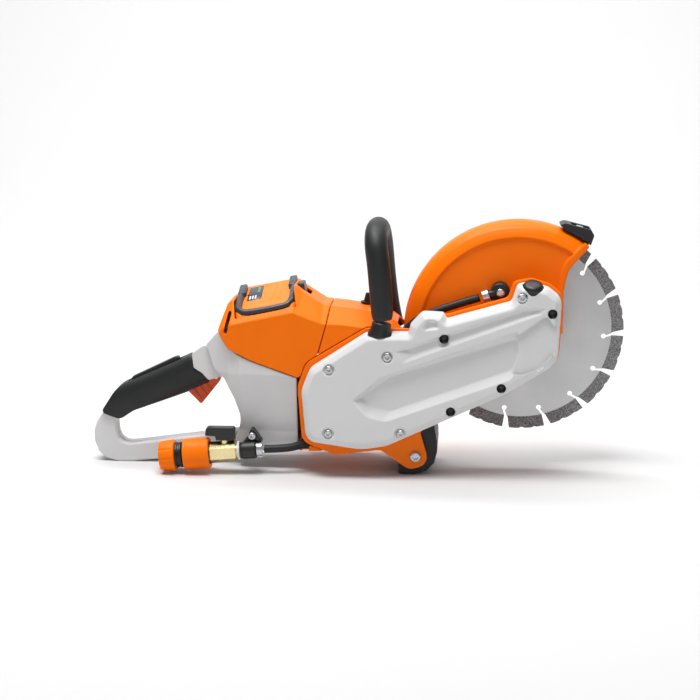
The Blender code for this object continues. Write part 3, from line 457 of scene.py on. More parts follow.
def metal(name, colour, rough, stretch, grain=0.00002, drift=0.85):
    """Machined metal: fine tool marks along one way, and faint staining."""
    made = Finish(name, colour, rough, metallic=1.0)
    made.mix_colour(made.range(made.noise(40, 5), 0.4, 0.75, 0.0, 0.6), tuple(c * drift for c in colour))
    marks = made.noise(350, 3, stretch)
    made.roughness(marks, rough - 0.08, rough + 0.12)
    made.bump(marks, grain)
    return made


ORANGE_RGB = (0.97, 0.178, 0.0)
ORANGE = plastic("orange_plastic", ORANGE_RGB, 0.4, edge=(1.0, 0.3, 0.02), specular=0.14)
CASE_ORANGE = plastic("orange_paint", ORANGE_RGB, 0.36, grain=0.00002, edge=(1.0, 0.3, 0.03), specular=0.16)
BATTERY_ORANGE = plastic("battery_plastic", (0.97, 0.2, 0.006), 0.42, edge=(1.0, 0.36, 0.06), specular=0.25)
WHITE = plastic("pale_plastic", (0.68, 0.68, 0.685), 0.42, shade=0.95, edge=(0.82, 0.82, 0.82), specular=0.35)
BLACK = plastic("black_plastic", (0.008, 0.0085, 0.009), 0.4, shade=0.8, edge=(0.05, 0.05, 0.05))
GREY = plastic("bail_plastic", (0.03, 0.035, 0.042), 0.36, shade=0.8, edge=(0.08, 0.09, 0.1))
RUBBER = plastic(
    "grip_rubber", (0.011, 0.012, 0.0125), 0.48,
    grain=0.00009, shade=0.75, edge=(0.03, 0.03, 0.03), specular=0.4,
)
TRIGGER = plastic("trigger_plastic", (0.7, 0.07, 0.0), 0.38, edge=(0.85, 0.2, 0.03))
STEEL = metal("machined_steel", (0.62, 0.62, 0.64), 0.3, (1, 1, 8))
ALLOY = metal("machined_alloy", (0.66, 0.66, 0.68), 0.35, (8, 1, 1))
BRASS = metal("brass", (0.84, 0.72, 0.4), 0.3, (12, 1, 1), grain=0.000006)
COPPER = metal("windings", (0.6, 0.3, 0.16), 0.4, (1, 12, 1))
PALE_MARK = plastic("pale_print", (0.75, 0.76, 0.78), 0.45)
INK = plastic("label_film", (0.018, 0.022, 0.032), 0.3, grain=0.00001, coat=0.3)
LED = Finish("level_light", (0.12, 0.5, 0.2), 0.3)
LED.mix_colour(LED.range(LED.noise(900), 0.3, 0.7), (0.06, 0.3, 0.1))
GREY_LIGHT = plastic("grey_plastic", (0.3, 0.31, 0.32), 0.4)


def disc_steel():
    """Ground steel with fine rings about the spindle."""
    made = Finish("disc_steel", (0.56, 0.57, 0.58), 0.36, metallic=0.85)
    split = made.node("ShaderNodeSeparateXYZ")
    made.link(made.place, split.inputs[0])
    dx = made.math("SUBTRACT", split.outputs[0], (SPINDLE[0] + SHIFT[0]) * 0.001)
    dz = made.math("SUBTRACT", split.outputs[2], SPINDLE[1] * 0.001)
    both = made.math("ADD", made.math("MULTIPLY", dx, dx), made.math("MULTIPLY", dz, dz))
    radius = made.math("SQRT", both)
    rings = made.node("ShaderNodeTexNoise", noise_dimensions="1D")
    rings.inputs["Scale"].default_value = 1500
    rings.inputs["Detail"].default_value = 4
    made.link(radius, rings.inputs["W"])
    made.mix_colour(made.range(rings.outputs["Fac"], 0.35, 0.7, 0.0, 0.5), (0.46, 0.47, 0.48))
    made.mix_colour(made.range(made.noise(18, 5), 0.45, 0.75, 0.0, 0.45), (0.68, 0.68, 0.67))
    made.roughness(rings.outputs["Fac"], 0.28, 0.46)
    made.bump(rings.outputs["Fac"], 0.00001)
    return made


def grit():
    """Sintered diamond segments: coarse dark matrix with pale grains."""
    made = Finish("diamond_grit", (0.16, 0.16, 0.165), 0.75, metallic=0.3)
    made.mix_colour(made.range(made.noise(1100, 4), 0.48, 0.62), (0.42, 0.42, 0.43))
    made.mix_colour(made.range(made.noise(420, 3), 0.55, 0.72), (0.06, 0.06, 0.065))
    made.bump(made.noise(900, 4), 0.0004)
    return made


DISC_STEEL = disc_steel()
GRIT = grit()


# ---------------------------------------------------------------- the drive arm

COVER = [
    (-44, 42, 14), (18, 33, 60), (46, 38, 30), (175, 98, 150), (232, 134, 26), (235, 205, 14), (221, 216, 10),
    (201, 222, 9), (187, 219, 6), (181, 200, 6), (111, 180, 2), (107, 187, 3), (84, 188, 8), (71, 174, 6),
    (69, 165, 1.5), (23, 164, 14), (-40, 123, 16), (-49, 99, 24),
]
PANEL_RIM = [
    (6, 89.5, 3), (38, 116.5, 12), (189, 170.5, 3), (191, 146, 4), (183, 115.5, 10), (43, 65, 20),
    (23, 70.5, 12),
]
PANEL_FLOOR = [
    (17, 93, 3), (47, 116.5, 10), (186, 160, 3), (188, 144.5, 4), (182, 126, 6), (49, 77.5, 12),
    (27, 83.5, 8),
]
CHANNEL_RIM = [(51, 145, 1), (194, 195, 3), (221, 196, 2), (216, 188.5, 2), (62, 131, 2)]
CHANNEL_FLOOR = [(66, 147, 0.5), (192, 191, 1), (207, 193.5, 0.3), (203, 189.5, 0.3), (76, 143, 0.5)]
FRONT_SWEEP = [(172, 152, 5), (219, 186.5, 4), (229, 170, 8), (228, 150, 12), (213, 131, 14), (186, 119, 10)]
TOP_SCOOP = [(84, 168, 3), (104, 171, 2), (100, 181, 4), (89, 182, 5)]
BUTTON_AXIS = Vector((0.05, -math.sin(math.radians(26)), math.cos(math.radians(26)))).normalized()
BUTTON_TOP = (204.0, -72.0, 222.0)
COVER_SCREWS = [(-18, 124), (-19, 52), (61, 53), (46, 139), (192, 206)]
COVER_PLUGS = [(108, 160), (116, 79), (171, 106), (225, 189)]


def sunk(name, outline, depth, slope, arc=10):
    """A cutter that sinks an outline into the cover's face, its walls leaning in by slope."""
    rings = []
    for y, step in ((COVER_FACE - 0.5, -slope * 0.5 / depth), (COVER_FACE + depth, slope)):
        corners = [(x, z, max(r, 0.2)) for x, z, r in inset(outline, step)]
        rings.append([(x, y, z) for x, z in rounded(corners, arc)])
    return loft(name, rings)


def make_cover():
    """The pale cover: a broad chamfer, a sunk panel, a channel, a swept front and rooms for its screws."""
    face = COVER_FACE
    levels = [(-56.35, 0.0), (face + 7.0, 0.0), (face + 4.6, 0.6), (face + 0.9, 5.4), (face, 7.0)]
    rings = []
    for y, step in levels:
        moved = [(x, z, max(r, 0.15)) for x, z, r in inset(COVER, step)]
        rings.append([(x, y, z) for x, z in rounded(moved, 8)])
    cover = loft("cover", rings)
    cuts = []
    for name, upper, lower, depth in (
        ("panel", PANEL_RIM, PANEL_FLOOR, 6.5),
        ("channel", CHANNEL_RIM, CHANNEL_FLOOR, 3.2),
    ):
        rim = [(x, face - 0.4, z) for x, z in rounded(inset(upper, -0.4), 10)]
        low = [(x, face + depth, z) for x, z in rounded(lower, 10)]
        cuts.append(("DIFFERENCE", loft(name, [rim, low])))
    cuts.append(("DIFFERENCE", sunk("sweep", FRONT_SWEEP, 3.6, 7.0)))
    cuts.append(("DIFFERENCE", sunk("scoop", TOP_SCOOP, 3.4, 3.4, 6)))
    for x, z in COVER_SCREWS:
        cuts.append(("DIFFERENCE", cone("seat", (x, face - 1, z), (x, face + 2.6, z), 6.9, 5.7)))
        cuts.append(("DIFFERENCE", cone("hole", (x, face - 1, z), (x, -50, z), 2.7, sides=16)))
    for x, z in COVER_PLUGS:
        cuts.append(("DIFFERENCE", cone("hole", (x, face - 1, z), (x, -60, z), 5.0)))
    cuts.append(("DIFFERENCE", prism("room", rounded(inset(COVER, 3), 4), -69, -50)))
    boot_room = [(24.6, 160.9, 1.5), (37, 159.6, 30), (50.2, 160.9, 1.5), (54, 200, 0), (26, 200, 0)]
    cuts.append(("DIFFERENCE", prism("boot_room", rounded(boot_room, 6), face - 5, -52)))
    top = Vector(BUTTON_TOP)
    cuts.append(("DIFFERENCE", cone("button", top - BUTTON_AXIS * 13.6, top + BUTTON_AXIS * 6, 11.9)))
    shape(cover, cuts)
    softened(cover, 0.75, 2, 0.4)
    piece(cover, "belt_cover_skin", "chassis", WHITE.material, ["belt_cover"])


def make_case():
    case = cad_copy("drive_case")
    softened(case, 0.9, 5, 0.4)
    piece(case, "drive_case_skin", "chassis", CASE_ORANGE.material, ["drive_case"])


def star_screw(name, centre, radius, body, node, height=2.6, slotted=False):
    """A pan head with a star recess, or a slot, and the shank below it."""
    centre, axis = Vector(centre), Vector(TO_NEAR)
    profile = [
        (0, height), (radius * 0.72, height), (radius * 0.9, height * 0.82), (radius, height * 0.45),
        (radius, 0), (radius * 0.55, 0), (radius * 0.55, -8), (0, -8),
    ]
    head = turned(name, profile, centre, axis, 40)
    turn = axis.to_track_quat("Z", "Y").to_matrix()
    if slotted:
        tool = block("slot", centre + axis * height, (radius * 1.5, 1.6, 1.0))
    else:
        lobes = []
        for k in range(36):
            angle = 2 * math.pi * k / 36
            r = radius * (0.5 + 0.1 * math.cos(6 * angle))
            lobes.append(Vector((r * math.cos(angle), r * math.sin(angle), 0)))
        rings = []
        for level in (height - 2.4, height + 1.0):
            rings.append([centre + turn @ (p + Vector((0, 0, level))) for p in lobes])
        tool = loft("star", rings)
    shape(head, [("DIFFERENCE", tool)])
    bevelled(head, 0.2, 2, 50)
    return piece(head, name, body, STEEL.material, [node])


def make_fasteners():
    for i, (x, z) in enumerate(COVER_SCREWS, 1):
        radius = 5.0 if i >= 4 else 4.4
        seat = (x, COVER_FACE + 2.6, z)
        star_screw(f"cover_screw_head_{i}", seat, radius, "chassis", f"cover_screw_{i}")
    # These black cups stand in for the shade deep inside the cover's holes: painted shade.
    cup = [(0, -3.2), (2.6, -3.2), (3.6, -2.4), (4.4, 0.1), (4.9, 0.5), (5.2, 0.1), (5.2, -8), (0, -8)]
    for i, (x, z) in enumerate(COVER_PLUGS, 1):
        plug = turned("plug", cup, (x, COVER_FACE + 0.4, z), TO_NEAR, 40)
        piece(plug, f"cover_hole_shade_cup_{i}", "chassis", BLACK.material, [f"cover_plug_{i}"])
    star_screw("bracket_screw_head", (-106, -58.4, 43), 4.2, "chassis", "bracket_screw", 2.2)
    star_screw("foot_screw_head", (77, -56.5, 22), 6.2, "chassis", "foot_screw", 3.2)
    seat = (ELBOW[0], -41.4, ELBOW[1])
    star_screw("elbow_screw_head", seat, 4.6, "guard", "elbow_screw", 2.8, slotted=True)


def make_button():
    profile = [
        (0, -0.5), (5.0, -0.6), (7.6, -1.1), (9.3, -2.0), (10.6, -3.4), (11.2, -5.2), (11.4, -8),
        (4, -8), (4, -19), (0, -19),
    ]
    cap = turned("button", profile, BUTTON_TOP, BUTTON_AXIS, 64)
    piece(cap, "spindle_lock_cap", "spindle_lock", BLACK.material, ["spindle_lock_button"], angle=60)


def make_disc():
    """A steel core with slanting slots, and separate grit segments with scalloped outer edges."""
    x, z = SPINDLE
    pitch = 360 / SEGMENTS
    core = DISC_RADIUS - 12.9
    outline = []
    for k in range(SEGMENTS):
        mouth = FIRST_SLOT + pitch * k
        slant = mouth - 2.8
        outline += arc_points((x, z), core + 0.4, mouth - pitch + 0.2, mouth - 1.9, 8)
        outline += arc_points(on_circle((x, z), 93, slant), 2.8, slant - 22, slant + 22 - 360, 16)
        outline.append(on_circle((x, z), core + 0.4, mouth - 0.2))
    bore = arc_points((x, z), 11.1, 0, 352.5, 47)
    plate = prism("core", [outline, bore], -1.0, 1.0)
    bevelled(plate, 0.15, 1, 50)
    piece(plate, "disc_core", "disc", DISC_STEEL.material, ["diamond_disc"], smooth=False)
    for k in range(SEGMENTS):
        mouth = FIRST_SLOT + pitch * k
        first, last = mouth - pitch + 1.9, mouth - 1.9
        edge = []
        for i in range(33):
            t = i / 32
            dip = 1.5 * max(0.0, 1 - abs(t - 0.36) / 0.09) + 1.1 * max(0.0, 1 - abs(t - 0.72) / 0.08)
            edge.append(on_circle((x, z), DISC_RADIUS - dip, first + (last - first) * t))
        foot = arc_points((x, z), core - 0.6, mouth - 1.9, mouth - pitch + 0.1, 12)
        block_of_grit = prism("segment", edge + foot, -1.3, 1.3)
        bevelled(block_of_grit, 0.25, 1, 50)
        piece(block_of_grit, f"disc_segment_{k + 1}", "disc", GRIT.material, smooth=False)


# ---------------------------------------------------------------- the guard

GUARD_EDGE = [(104, 50, 0), (128, 74, 8), (200, 112, 20), (236, 148, 16), (236, 204, 14), (243, 233, 30)]
GUARD_LIP = [
    (235.0, 158, 1), (239, 158, 1), (239, 206, 20), (243.5, 229, 30), (266.5, 255.5, 1.5), (261.5, 260, 1.5),
    (238, 236, 30), (233.6, 208, 14),
]
SHOULDER = [  # (radius, half-width), from the flat side out to the rim
    (0, 22.9), (107.6, 22.9), (109.0, 23.7), (110.4, 24.9), (111.8, 24.7), (115.5, 23.2), (120.5, 20.4),
    (124.0, 16.6), (126.4, 12.0), (127.6, 7.0), (128.0, 0.0),
]


def guard_solid(name, shrink):
    """The guard's full round form, or with shrink its hollow, which has no ridge."""
    half = [(max(r - shrink, 0), w - shrink) for r, w in SHOULDER]
    if shrink:
        half = [half[0]] + [p for p in half[1:] if p[0] < 104 or p[0] > 107]
    profile = half + [(r, -w) for r, w in reversed(half[:-1])]
    return turned(name, profile, (GUARD_CENTRE[0], 0, GUARD_CENTRE[1]), TO_NEAR, 160)


def make_guard():
    guard = guard_solid("guard", 0)
    span = arc_points(GUARD_CENTRE, 150, 52, 231, 12)
    keep = rounded([(x, z, 0) for x, z in span] + GUARD_EDGE + [(*on_circle(GUARD_CENTRE, 132, 52), 0)], 6)
    far_edge = [
        (95, 20, 0), (290, 20, 0), (290, 250, 0), (262, 262, 0), (240, 214, 30), (222, 196, 30),
        (164, 196, 30), (148, 140, 40), (110, 60, 0),
    ]
    lip = prism("lip", rounded(GUARD_LIP, 6), -27, -19)
    bevelled(lip, 1.8, 2)
    x, z = SPINDLE
    port_x, port_z = ELBOW
    steps = [
        ("INTERSECT", prism("keep", keep, -40, 40)),
        ("DIFFERENCE", guard_solid("room", 2.6)),
        ("DIFFERENCE", prism("window", rounded(far_edge, 6), 4, 40)),
        ("UNION", lip),
        ("DIFFERENCE", cone("hub", (x, -40, z), (x, -10, z), 26.6)),
        ("DIFFERENCE", cone("port", (port_x, -30, port_z), (port_x, -12, port_z), 3.2, sides=16)),
    ]
    shape(guard, steps)
    softened(guard, 0.8, 3, 0.4)
    piece(guard, "guard_skin", "guard", CASE_ORANGE.material, ["guard_shell"])
    make_arrow()


def make_arrow():
    """A raised arrow for the way the disc turns, on the guard's shoulder."""
    work = bmesh.new()

    def spot(radius, angle):
        x, z = on_circle(GUARD_CENTRE, radius, angle)
        for (r0, w0), (r1, w1) in zip(SHOULDER, SHOULDER[1:]):
            if r0 <= radius <= r1:
                depth = w0 + (w1 - w0) * (radius - r0) / (r1 - r0)
        return Vector((x, -depth - 0.12, z))

    def strip(pairs):
        verts = [[work.verts.new(p) for p in pair] for pair in pairs]
        for (a, b), (c, d) in zip(verts, verts[1:]):
            work.faces.new((a, b, d, c))

    strip([(spot(117.0, 74 - k), spot(118.6, 74 - k)) for k in range(11)])
    tip = enumerate((2.6, 1.8, 1.0, 0.1))
    strip([(spot(117.8 - w, 64 - 0.5 * k), spot(117.8 + w, 64 - 0.5 * k)) for k, w in tip])
    made = new_object("arrow", work)
    thick = made.modifiers.new("thick", "SOLIDIFY")
    thick.thickness = 0.5
    apply_all(made)
    piece(made, "guard_arrow", "guard", CASE_ORANGE.material)


def make_guard_lever():
    """The grip that turns the guard: a hollow-topped block with a small grey stop on it."""
    lever = cad_copy("guard_lever")
    well = rounded([(247, 274, 2), (267, 269, 2), (270, 290, 1), (247, 290, 1)], 4)
    hollow = prism("hollow", well, -12, 12)
    shape(lever, [("DIFFERENCE", hollow)])
    softened(lever, 0.6, 3, 0.5)
    piece(lever, "guard_lever_skin", "guard", BLACK.material, ["guard_lever"])
    outline = rounded([(252, 269, 1), (260, 267.5, 1), (260.5, 274.5, 1.2), (253, 276.5, 1.2)], 4)
    stop = prism("stop", outline, -6, 6)
    bevelled(stop, 0.8, 2)
    piece(stop, "guard_lever_stop", "guard", GREY_LIGHT.material)


def make_elbow():
    x, z = ELBOW
    profile = [(7.0, 8), (9.4, 7.4), (10.6, 5.4), (10.6, -8), (3.8, -8), (3.8, 8)]
    body = turned("elbow", profile, (x, -33, z), TO_NEAR, 56)
    neck = cone("neck", (x - 5, -36, z - 1.7), (x - 18, -36, z - 6.1), 6.6, 5.6)
    bore = cone("bore", (x, -60, z), (x, -10, z), 3.8, sides=24)
    mouth = cone("mouth", (x - 13.6, -36, z - 4.6), (x - 26, -36, z - 8.8), 4.9, sides=24)
    shape(body, [("UNION", neck), ("DIFFERENCE", bore), ("DIFFERENCE", mouth)])
    softened(body, 0.4, 3, 0.5)
    piece(body, "elbow_skin", "guard", BLACK.material, ["hose_elbow"])
    band((x - 15.5, -36, z - 5.25), (-13, 0, -4.4), 7.0, 8.2, 7.4, "hose_clamp_front", "guard")


def band(centre, axis, inner, outer, width, node, body):
    """An ear clamp: a strip of sheet steel with rolled edges and a crimped ear."""
    w = width / 2
    profile = [
        (inner, w), (outer - 0.5, w), (outer, w - 0.5), (outer - 0.35, 0), (outer, 0.5 - w),
        (outer - 0.5, -w), (inner, -w),
    ]
    ring = turned(node, profile, centre, axis, 56)
    up = Vector((0, 0.3, -1)).normalized()
    ear = block("ear", Vector(centre) + up * (outer + 0.6), (width * 0.86, 4.2, 2.2))
    shape(ring, [("UNION", ear)])
    bevelled(ring, 0.2, 2, 50)
    piece(ring, node + "_band", body, STEEL.material, [node])


# ---------------------------------------------------------------- shrouds, body and handle

COLLAR = [
    (-160, 98, 2), (-142, 103.5, 3), (-152.2, 113.5, 2), (-162.7, 140.5, 3), (-179, 129, 4), (-177, 112, 2),
    (-168, 106.5, 3),
]
GRIP = [
    (-286, 58, 4), (-264, 49, 8), (-248, 60, 25), (-186, 82, 10), (-158.5, 95.5, 2), (-168.4, 105.4, 3),
    (-178, 111.4, 2), (-179.8, 126, 3), (-267, 87.5, 36),
]
LOCKOUT_ROOM = [(-256, 90, 2), (-249, 84.5, 2), (-193.5, 103, 2), (-193.5, 130, 2), (-254, 106, 2)]
TRIGGER_ROOM = [(-145, 92, 2), (-143, 106, 3), (-162, 109, 3), (-197, 96, 3), (-190, 80, 2), (-171, 60, 2)]


def skin(node, name, finish, voxel=0.9, rounds=5, keep=0.4, body="chassis", steps=()):
    """A CAD node's solid, cut by steps and eased, as the piece that replaces the node."""
    obj = cad_copy(node)
    if steps:
        shape(obj, list(steps))
    softened(obj, voxel, rounds, keep)
    return piece(obj, name, body, finish.material, [node])


def make_shells():
    opening = rounded([(-138, 158, 1.4), (-134, 158, 1.4), (-129.5, 181, 1.4), (-133.5, 181, 1.4)], 4)
    vent = prism("vent", opening, -70, -30)
    skin("battery_shroud", "battery_shroud_skin", ORANGE, steps=[("DIFFERENCE", vent)])
    skin("motor_shroud", "motor_shroud_skin", ORANGE)
    skin("body_shell_right", "body_right_skin", WHITE)
    skin("body_shell_left", "body_left_skin", WHITE)
    skin("handle_shell_right", "handle_right_skin", WHITE, 0.8)
    skin("handle_shell_left", "handle_left_skin", WHITE, 0.8)
    skin("foot_skid", "foot_skid_skin", RUBBER, 0.8, 4)
    skin("lockout_lever", "lockout_skin", BLACK, 0.5, 3, body="lockout")
    skin("valve_lever", "valve_lever_skin", BLACK, 0.5, 2, body="water_lever")
    skin("hose_bracket", "hose_bracket_skin", BLACK, 0.5, 2)
    skin("battery_latch", "battery_latch_skin", GREY, 0.5, 3, body="latch")
    ribs = []
    for k in range(4):
        x, z = -183 + 8.2 * k, 79 + 2.6 * k
        ribs.append(("DIFFERENCE", block("rib", (x + 2, -6.5, z - 1), (4.6, 2.4, 22), tilt=-38)))
    skin("trigger", "trigger_skin", TRIGGER, 0.5, 2, body="trigger", steps=ribs)


HANDLE_PATH = [  # x, y, z, share of the full radius
    (40, -66, 178.4, 0.82), (39.8, -66, 186, 0.94), (38.6, -66, 206, 1.0), (36, -66, 236, 1.0),
    (33, -61, 258, 1.0), (32, -46, 271, 0.98), (33, -20, 274.5, 0.95), (34.5, 6, 267, 0.93),
    (36.5, 26, 248, 0.9), (39, 38, 218, 0.86), (43.5, 44, 186, 0.78), (50, 46, 163, 0.6), (54, 46, 152, 0.54),
]


def make_grip():
    """The soft grip: oval sections along the handle, trimmed to the grip's outline."""
    line = [
        (-296, 40), (-283, 57), (-262, 70), (-240, 78.5), (-214, 90), (-186, 103), (-165, 113), (-150, 120),
    ]
    rings = []
    for i, (x, z) in enumerate(line):
        before, after = Vector(line[max(i - 1, 0)]), Vector(line[min(i + 1, len(line) - 1)])
        ahead = (after - before).normalized()
        across = Vector((-ahead.y, ahead.x))
        ring = []
        for k in range(40):
            angle = 2 * math.pi * k / 40
            wide, tall = 17.4 * math.cos(angle), 21.0 * math.sin(angle)
            push = 1.0 / (abs(math.cos(angle)) ** 2.7 + abs(math.sin(angle)) ** 2.7) ** (1 / 2.7)
            spot = Vector((x, z)) + across * tall * push
            ring.append((spot.x, wide * push, spot.y))
        rings.append(ring)
    grip = loft("grip", rings)
    trim = prism("trim", rounded(GRIP, 10), -30, 30)
    lever = prism("lever_room", rounded(LOCKOUT_ROOM, 4), -6, 6)
    finger = prism("finger_room", rounded(TRIGGER_ROOM, 4), -7.5, 7.5)
    collar = prism("collar_room", rounded(inset(COLLAR, -0.4), 8), -30, 30)
    shape(grip, [("INTERSECT", trim), ("DIFFERENCE", lever), ("DIFFERENCE", finger), ("DIFFERENCE", collar)])
    softened(grip, 0.8, 14, 0.4)
    piece(grip, "rear_grip_skin", "chassis", RUBBER.material, ["rear_grip"])


def make_front_handle():
    points = smooth_path(HANDLE_PATH, 8)
    bar = sweep("bar", [p[:3] for p in points], [HANDLE_RADIUS * p[3] for p in points], 40)
    softened(bar, 0.8, 4, 0.5)
    piece(bar, "front_handle_skin", "chassis", RUBBER.material, ["front_handle"])
    low, high = Vector((37.2, -66, 160.6)), Vector((39.6, -66, 175.6))
    profile = [
        (0, 15.2), (9.8, 15.2), (10.6, 14.4), (10.9, 10), (11.8, 6), (13.2, 2.6), (13.4, 1.6), (13.0, 0),
        (0, 0),
    ]
    socket = turned("socket", profile, low, high - low, 56)
    piece(socket, "front_handle_boot", "chassis", BLACK.material, ["front_handle_socket"])


# ---------------------------------------------------------------- battery


def battery_place(a, b, c):
    """A point on the leaning battery: a along its top, b across, c above the top."""
    lean = math.radians(BATTERY_TILT)
    up = Vector((-math.sin(lean), 0, math.cos(lean)))
    along = Vector((math.cos(lean), 0, math.sin(lean)))
    return Vector((BATTERY_TOP[0], b, BATTERY_TOP[1])) + along * a + up * c


def make_battery():
    skin("battery_pack", "battery_pack_skin", BATTERY_ORANGE, 0.8, 3, body="battery")
    half = 34.0
    grip = [
        (-half + 4, 24, 5.8), (-half + 3, -6, 0.6), (-half + 3, -30, -4.6), (-half + 6, -39, -8.4),
        (-half + 16, -42.4, -11), (half - 16, -42.4, -11), (half - 6, -39, -8.4), (half - 3, -30, -4.6),
        (half - 3, -6, 0.6), (half - 4, 24, 5.8),
    ]
    path = smooth_path([tuple(battery_place(*p)) for p in grip], 8)
    bail = sweep("bail", path, [3.9] * len(path), 20)
    piece(bail, "battery_bail_skin", "battery", GREY.material, ["battery_bail"])
    for name, a in (("rear", 4.6 - half), ("front", half - 4.6)):
        end = top_block("end", (a - 4.4, 2, -2.0), (a + 4.4, 32, 6.0))
        bevelled(end, 1.6, 3)
        piece(end, f"bail_end_{name}", "battery", GREY.material)
    label = top_block("label", (-23, -14, -0.5), (-6, 32, 0.3))
    bevelled(label, 0.3, 1)
    piece(label, "battery_label", "battery", INK.material)
    for k in range(4):
        light = top_block("light", (-12.4, 12 + 4.2 * k, 0.1), (-9.4, 14.4 + 4.2 * k, 0.55))
        piece(light, f"level_light_{k + 1}", "battery", LED.material)
    for k in range(3):
        mark = top_block("mark", (-20.5 + 3.2 * k, -10, 0.2), (-18.9 + 3.2 * k, 1, 0.42))
        piece(mark, f"label_mark_{k + 1}", "battery", PALE_MARK.material)
    for k in range(2):
        rib = top_block("rib", (4 + 8 * k, -22, -0.5), (7.6 + 8 * k, 30, 0.5))
        bevelled(rib, 0.45, 2)
        piece(rib, f"battery_rib_{k + 1}", "battery", BATTERY_ORANGE.material)
    base, lift = battery_place(-20, 8, 1.4), battery_place(-20, 8, 2.4)
    cap = turned("button", [(0, 1.2), (3.0, 1.2), (3.8, 0.5), (4, -2.6), (0, -2.6)], base, lift - base, 32)
    piece(cap, "battery_button_cap", "battery_button", GREY.material, ["battery_button"])


def top_block(name, low, high):
    """A block on the battery's sloping top, its third measure taken above that slope."""
    corners = []
    for c in (low[2], high[2]):
        ring = [(low[0], low[1]), (high[0], low[1]), (high[0], high[1]), (low[0], high[1])]
        corners.append([battery_place(a, b, c + 0.25 + 0.177 * b) for a, b in ring])
    return loft(name, corners)


# ---------------------------------------------------------------- water feed


def pipe_point(along):
    x, y, z = PIPE_START
    slope = math.radians(PIPE_SLOPE)
    return Vector((x + along * math.cos(slope), y, z + along * math.sin(slope)))


def pipe_turned(name, profile, steps=96, wave=None):
    """A profile of (radius, millimetres along the inlet) turned about the inlet's axis."""
    return turned(name, profile, pipe_point(0), pipe_point(1) - pipe_point(0), steps, wave)


def make_inlet():
    def grips(angle, height):
        """Broad grip ribs round the nut, running out towards its collar."""
        near = max(0.0, min(1.0, (20 - height) / 4))
        dip = max(0.0, math.cos(10 * angle)) ** 3
        return 1.0 - 0.06 * dip * near

    profile = [
        (9.5, 22.6), (16.4, 22.6), (17.4, 21.9), (17.6, 20.4), (17.3, 14), (16.8, 8), (16.4, 6.4),
        (15.6, 5.2), (11.5, 5.2), (9.5, 6.2),
    ]
    nut = pipe_turned("nut", profile, 120, grips)
    piece(nut, "coupling_nut_skin", "chassis", ORANGE.material, ["coupling_nut"])

    def dents(angle, height):
        near = max(0.0, 1 - ((height - 47) / 7.5) ** 2)
        dip = max(0.0, math.cos(3 * angle + 0.6)) ** 6
        return 1.0 - 0.06 * dip * near

    profile = [(13.0, 61.6), (16.8, 61.6), (17.6, 60.8)]
    profile += [(17.6 - 0.25 * (k in (1, 12)), 60.2 - k * 2.1) for k in range(13)]
    profile += [(17.6, 33.6), (16.8, 32.4), (13.0, 32.4)]
    collar = pipe_turned("collar", profile, 120, dents)
    piece(collar, "coupling_collar_skin", "collar", ORANGE.material, ["coupling_collar"])
    core = [
        (5.0, 62), (8.6, 62), (9.0, 61.4), (9.0, 30.6), (13.9, 30.6), (14.5, 30.0), (14.5, 28.4),
        (13.7, 27.8), (13.7, 26), (14.5, 25.4), (14.5, 23.8), (13.9, 23.2), (9.0, 23.2), (9.0, 4.4),
        (8.4, 3.8), (5.0, 3.8),
    ]
    inner = pipe_turned("core", core, 64)
    piece(inner, "coupling_core_skin", "chassis", BLACK.material, ["coupling_core"])
    valve = cone("valve", pipe_point(62.6), pipe_point(91.6), 12.4, sides=6)
    foot = pipe_point(78) + Vector((0, 0, 8))
    steps = [
        ("UNION", cone("nipple", pipe_point(50), pipe_point(64), 4.5)),
        ("UNION", cone("stem", foot, foot + Vector((0, 0, 5.6)), 4.4)),
        ("UNION", cone("tail", pipe_point(91), pipe_point(96), 8)),
    ]
    shape(valve, steps)
    bevelled(valve, 0.5, 2, 25)
    piece(valve, "valve_body_skin", "chassis", BRASS.material, ["valve_body"], angle=25)
    washer = [(8.2, 95.8), (10.2, 95.8), (10.4, 95.4), (10.4, 93.6), (10.2, 93.2), (8.2, 93.2)]
    piece(pipe_turned("washer", washer, 56), "inlet_washer", "chassis", WHITE.material)
    profile = [
        (5.2, 114), (9.2, 114), (10.0, 113.2), (10.0, 99.4), (9.4, 98.8), (9.4, 97.4), (8.8, 96.6),
        (5.2, 96.6),
    ]
    tail = pipe_turned("tail", profile, 56)
    piece(tail, "hose_socket_skin", "chassis", BLACK.material, ["hose_socket"])
    middle = pipe_point(118.1)
    band(middle, pipe_point(1) - pipe_point(0), 5.2, 8.1, 7.0, "hose_clamp_rear", "chassis")


HOSE = [
    (-92, -58.0, 28.4), (-78, -57.5, 29), (-62, -54, 30), (-46, -46, 32.6), (-25, -42, 34.5), (5, -41.5, 38),
    (32, -41.5, 44), (49, -41.5, 68), (52, -41.5, 110), (56, -41, 145), (70, -39, 168), (94, -37, 182),
    (122, -36, 192), (146, -36, 199.5),
]


def make_hose():
    path = smooth_path(HOSE, 8)
    hose = sweep("hose", path, [HOSE_RADIUS] * len(path), 24)
    piece(hose, "water_hose_skin", None, RUBBER.material, ["water_hose"], angle=0)
    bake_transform(hose)


# ---------------------------------------------------------------- the rest of the CAD nodes

CAD_FINISH = {
    "rubber_buffer": BLACK, "controller_board": BLACK, "battery_contacts": BLACK, "trigger_switch": BLACK,
    "trigger_pin": STEEL, "spindle": STEEL, "spindle_bearing": STEEL, "disc_bolt": STEEL,
    "inner_flange": ALLOY, "outer_flange": ALLOY, "spindle_pulley": ALLOY, "motor_pulley": ALLOY,
    "motor_rotor": STEEL, "motor_stator": COPPER, "drive_belt": RUBBER,
}


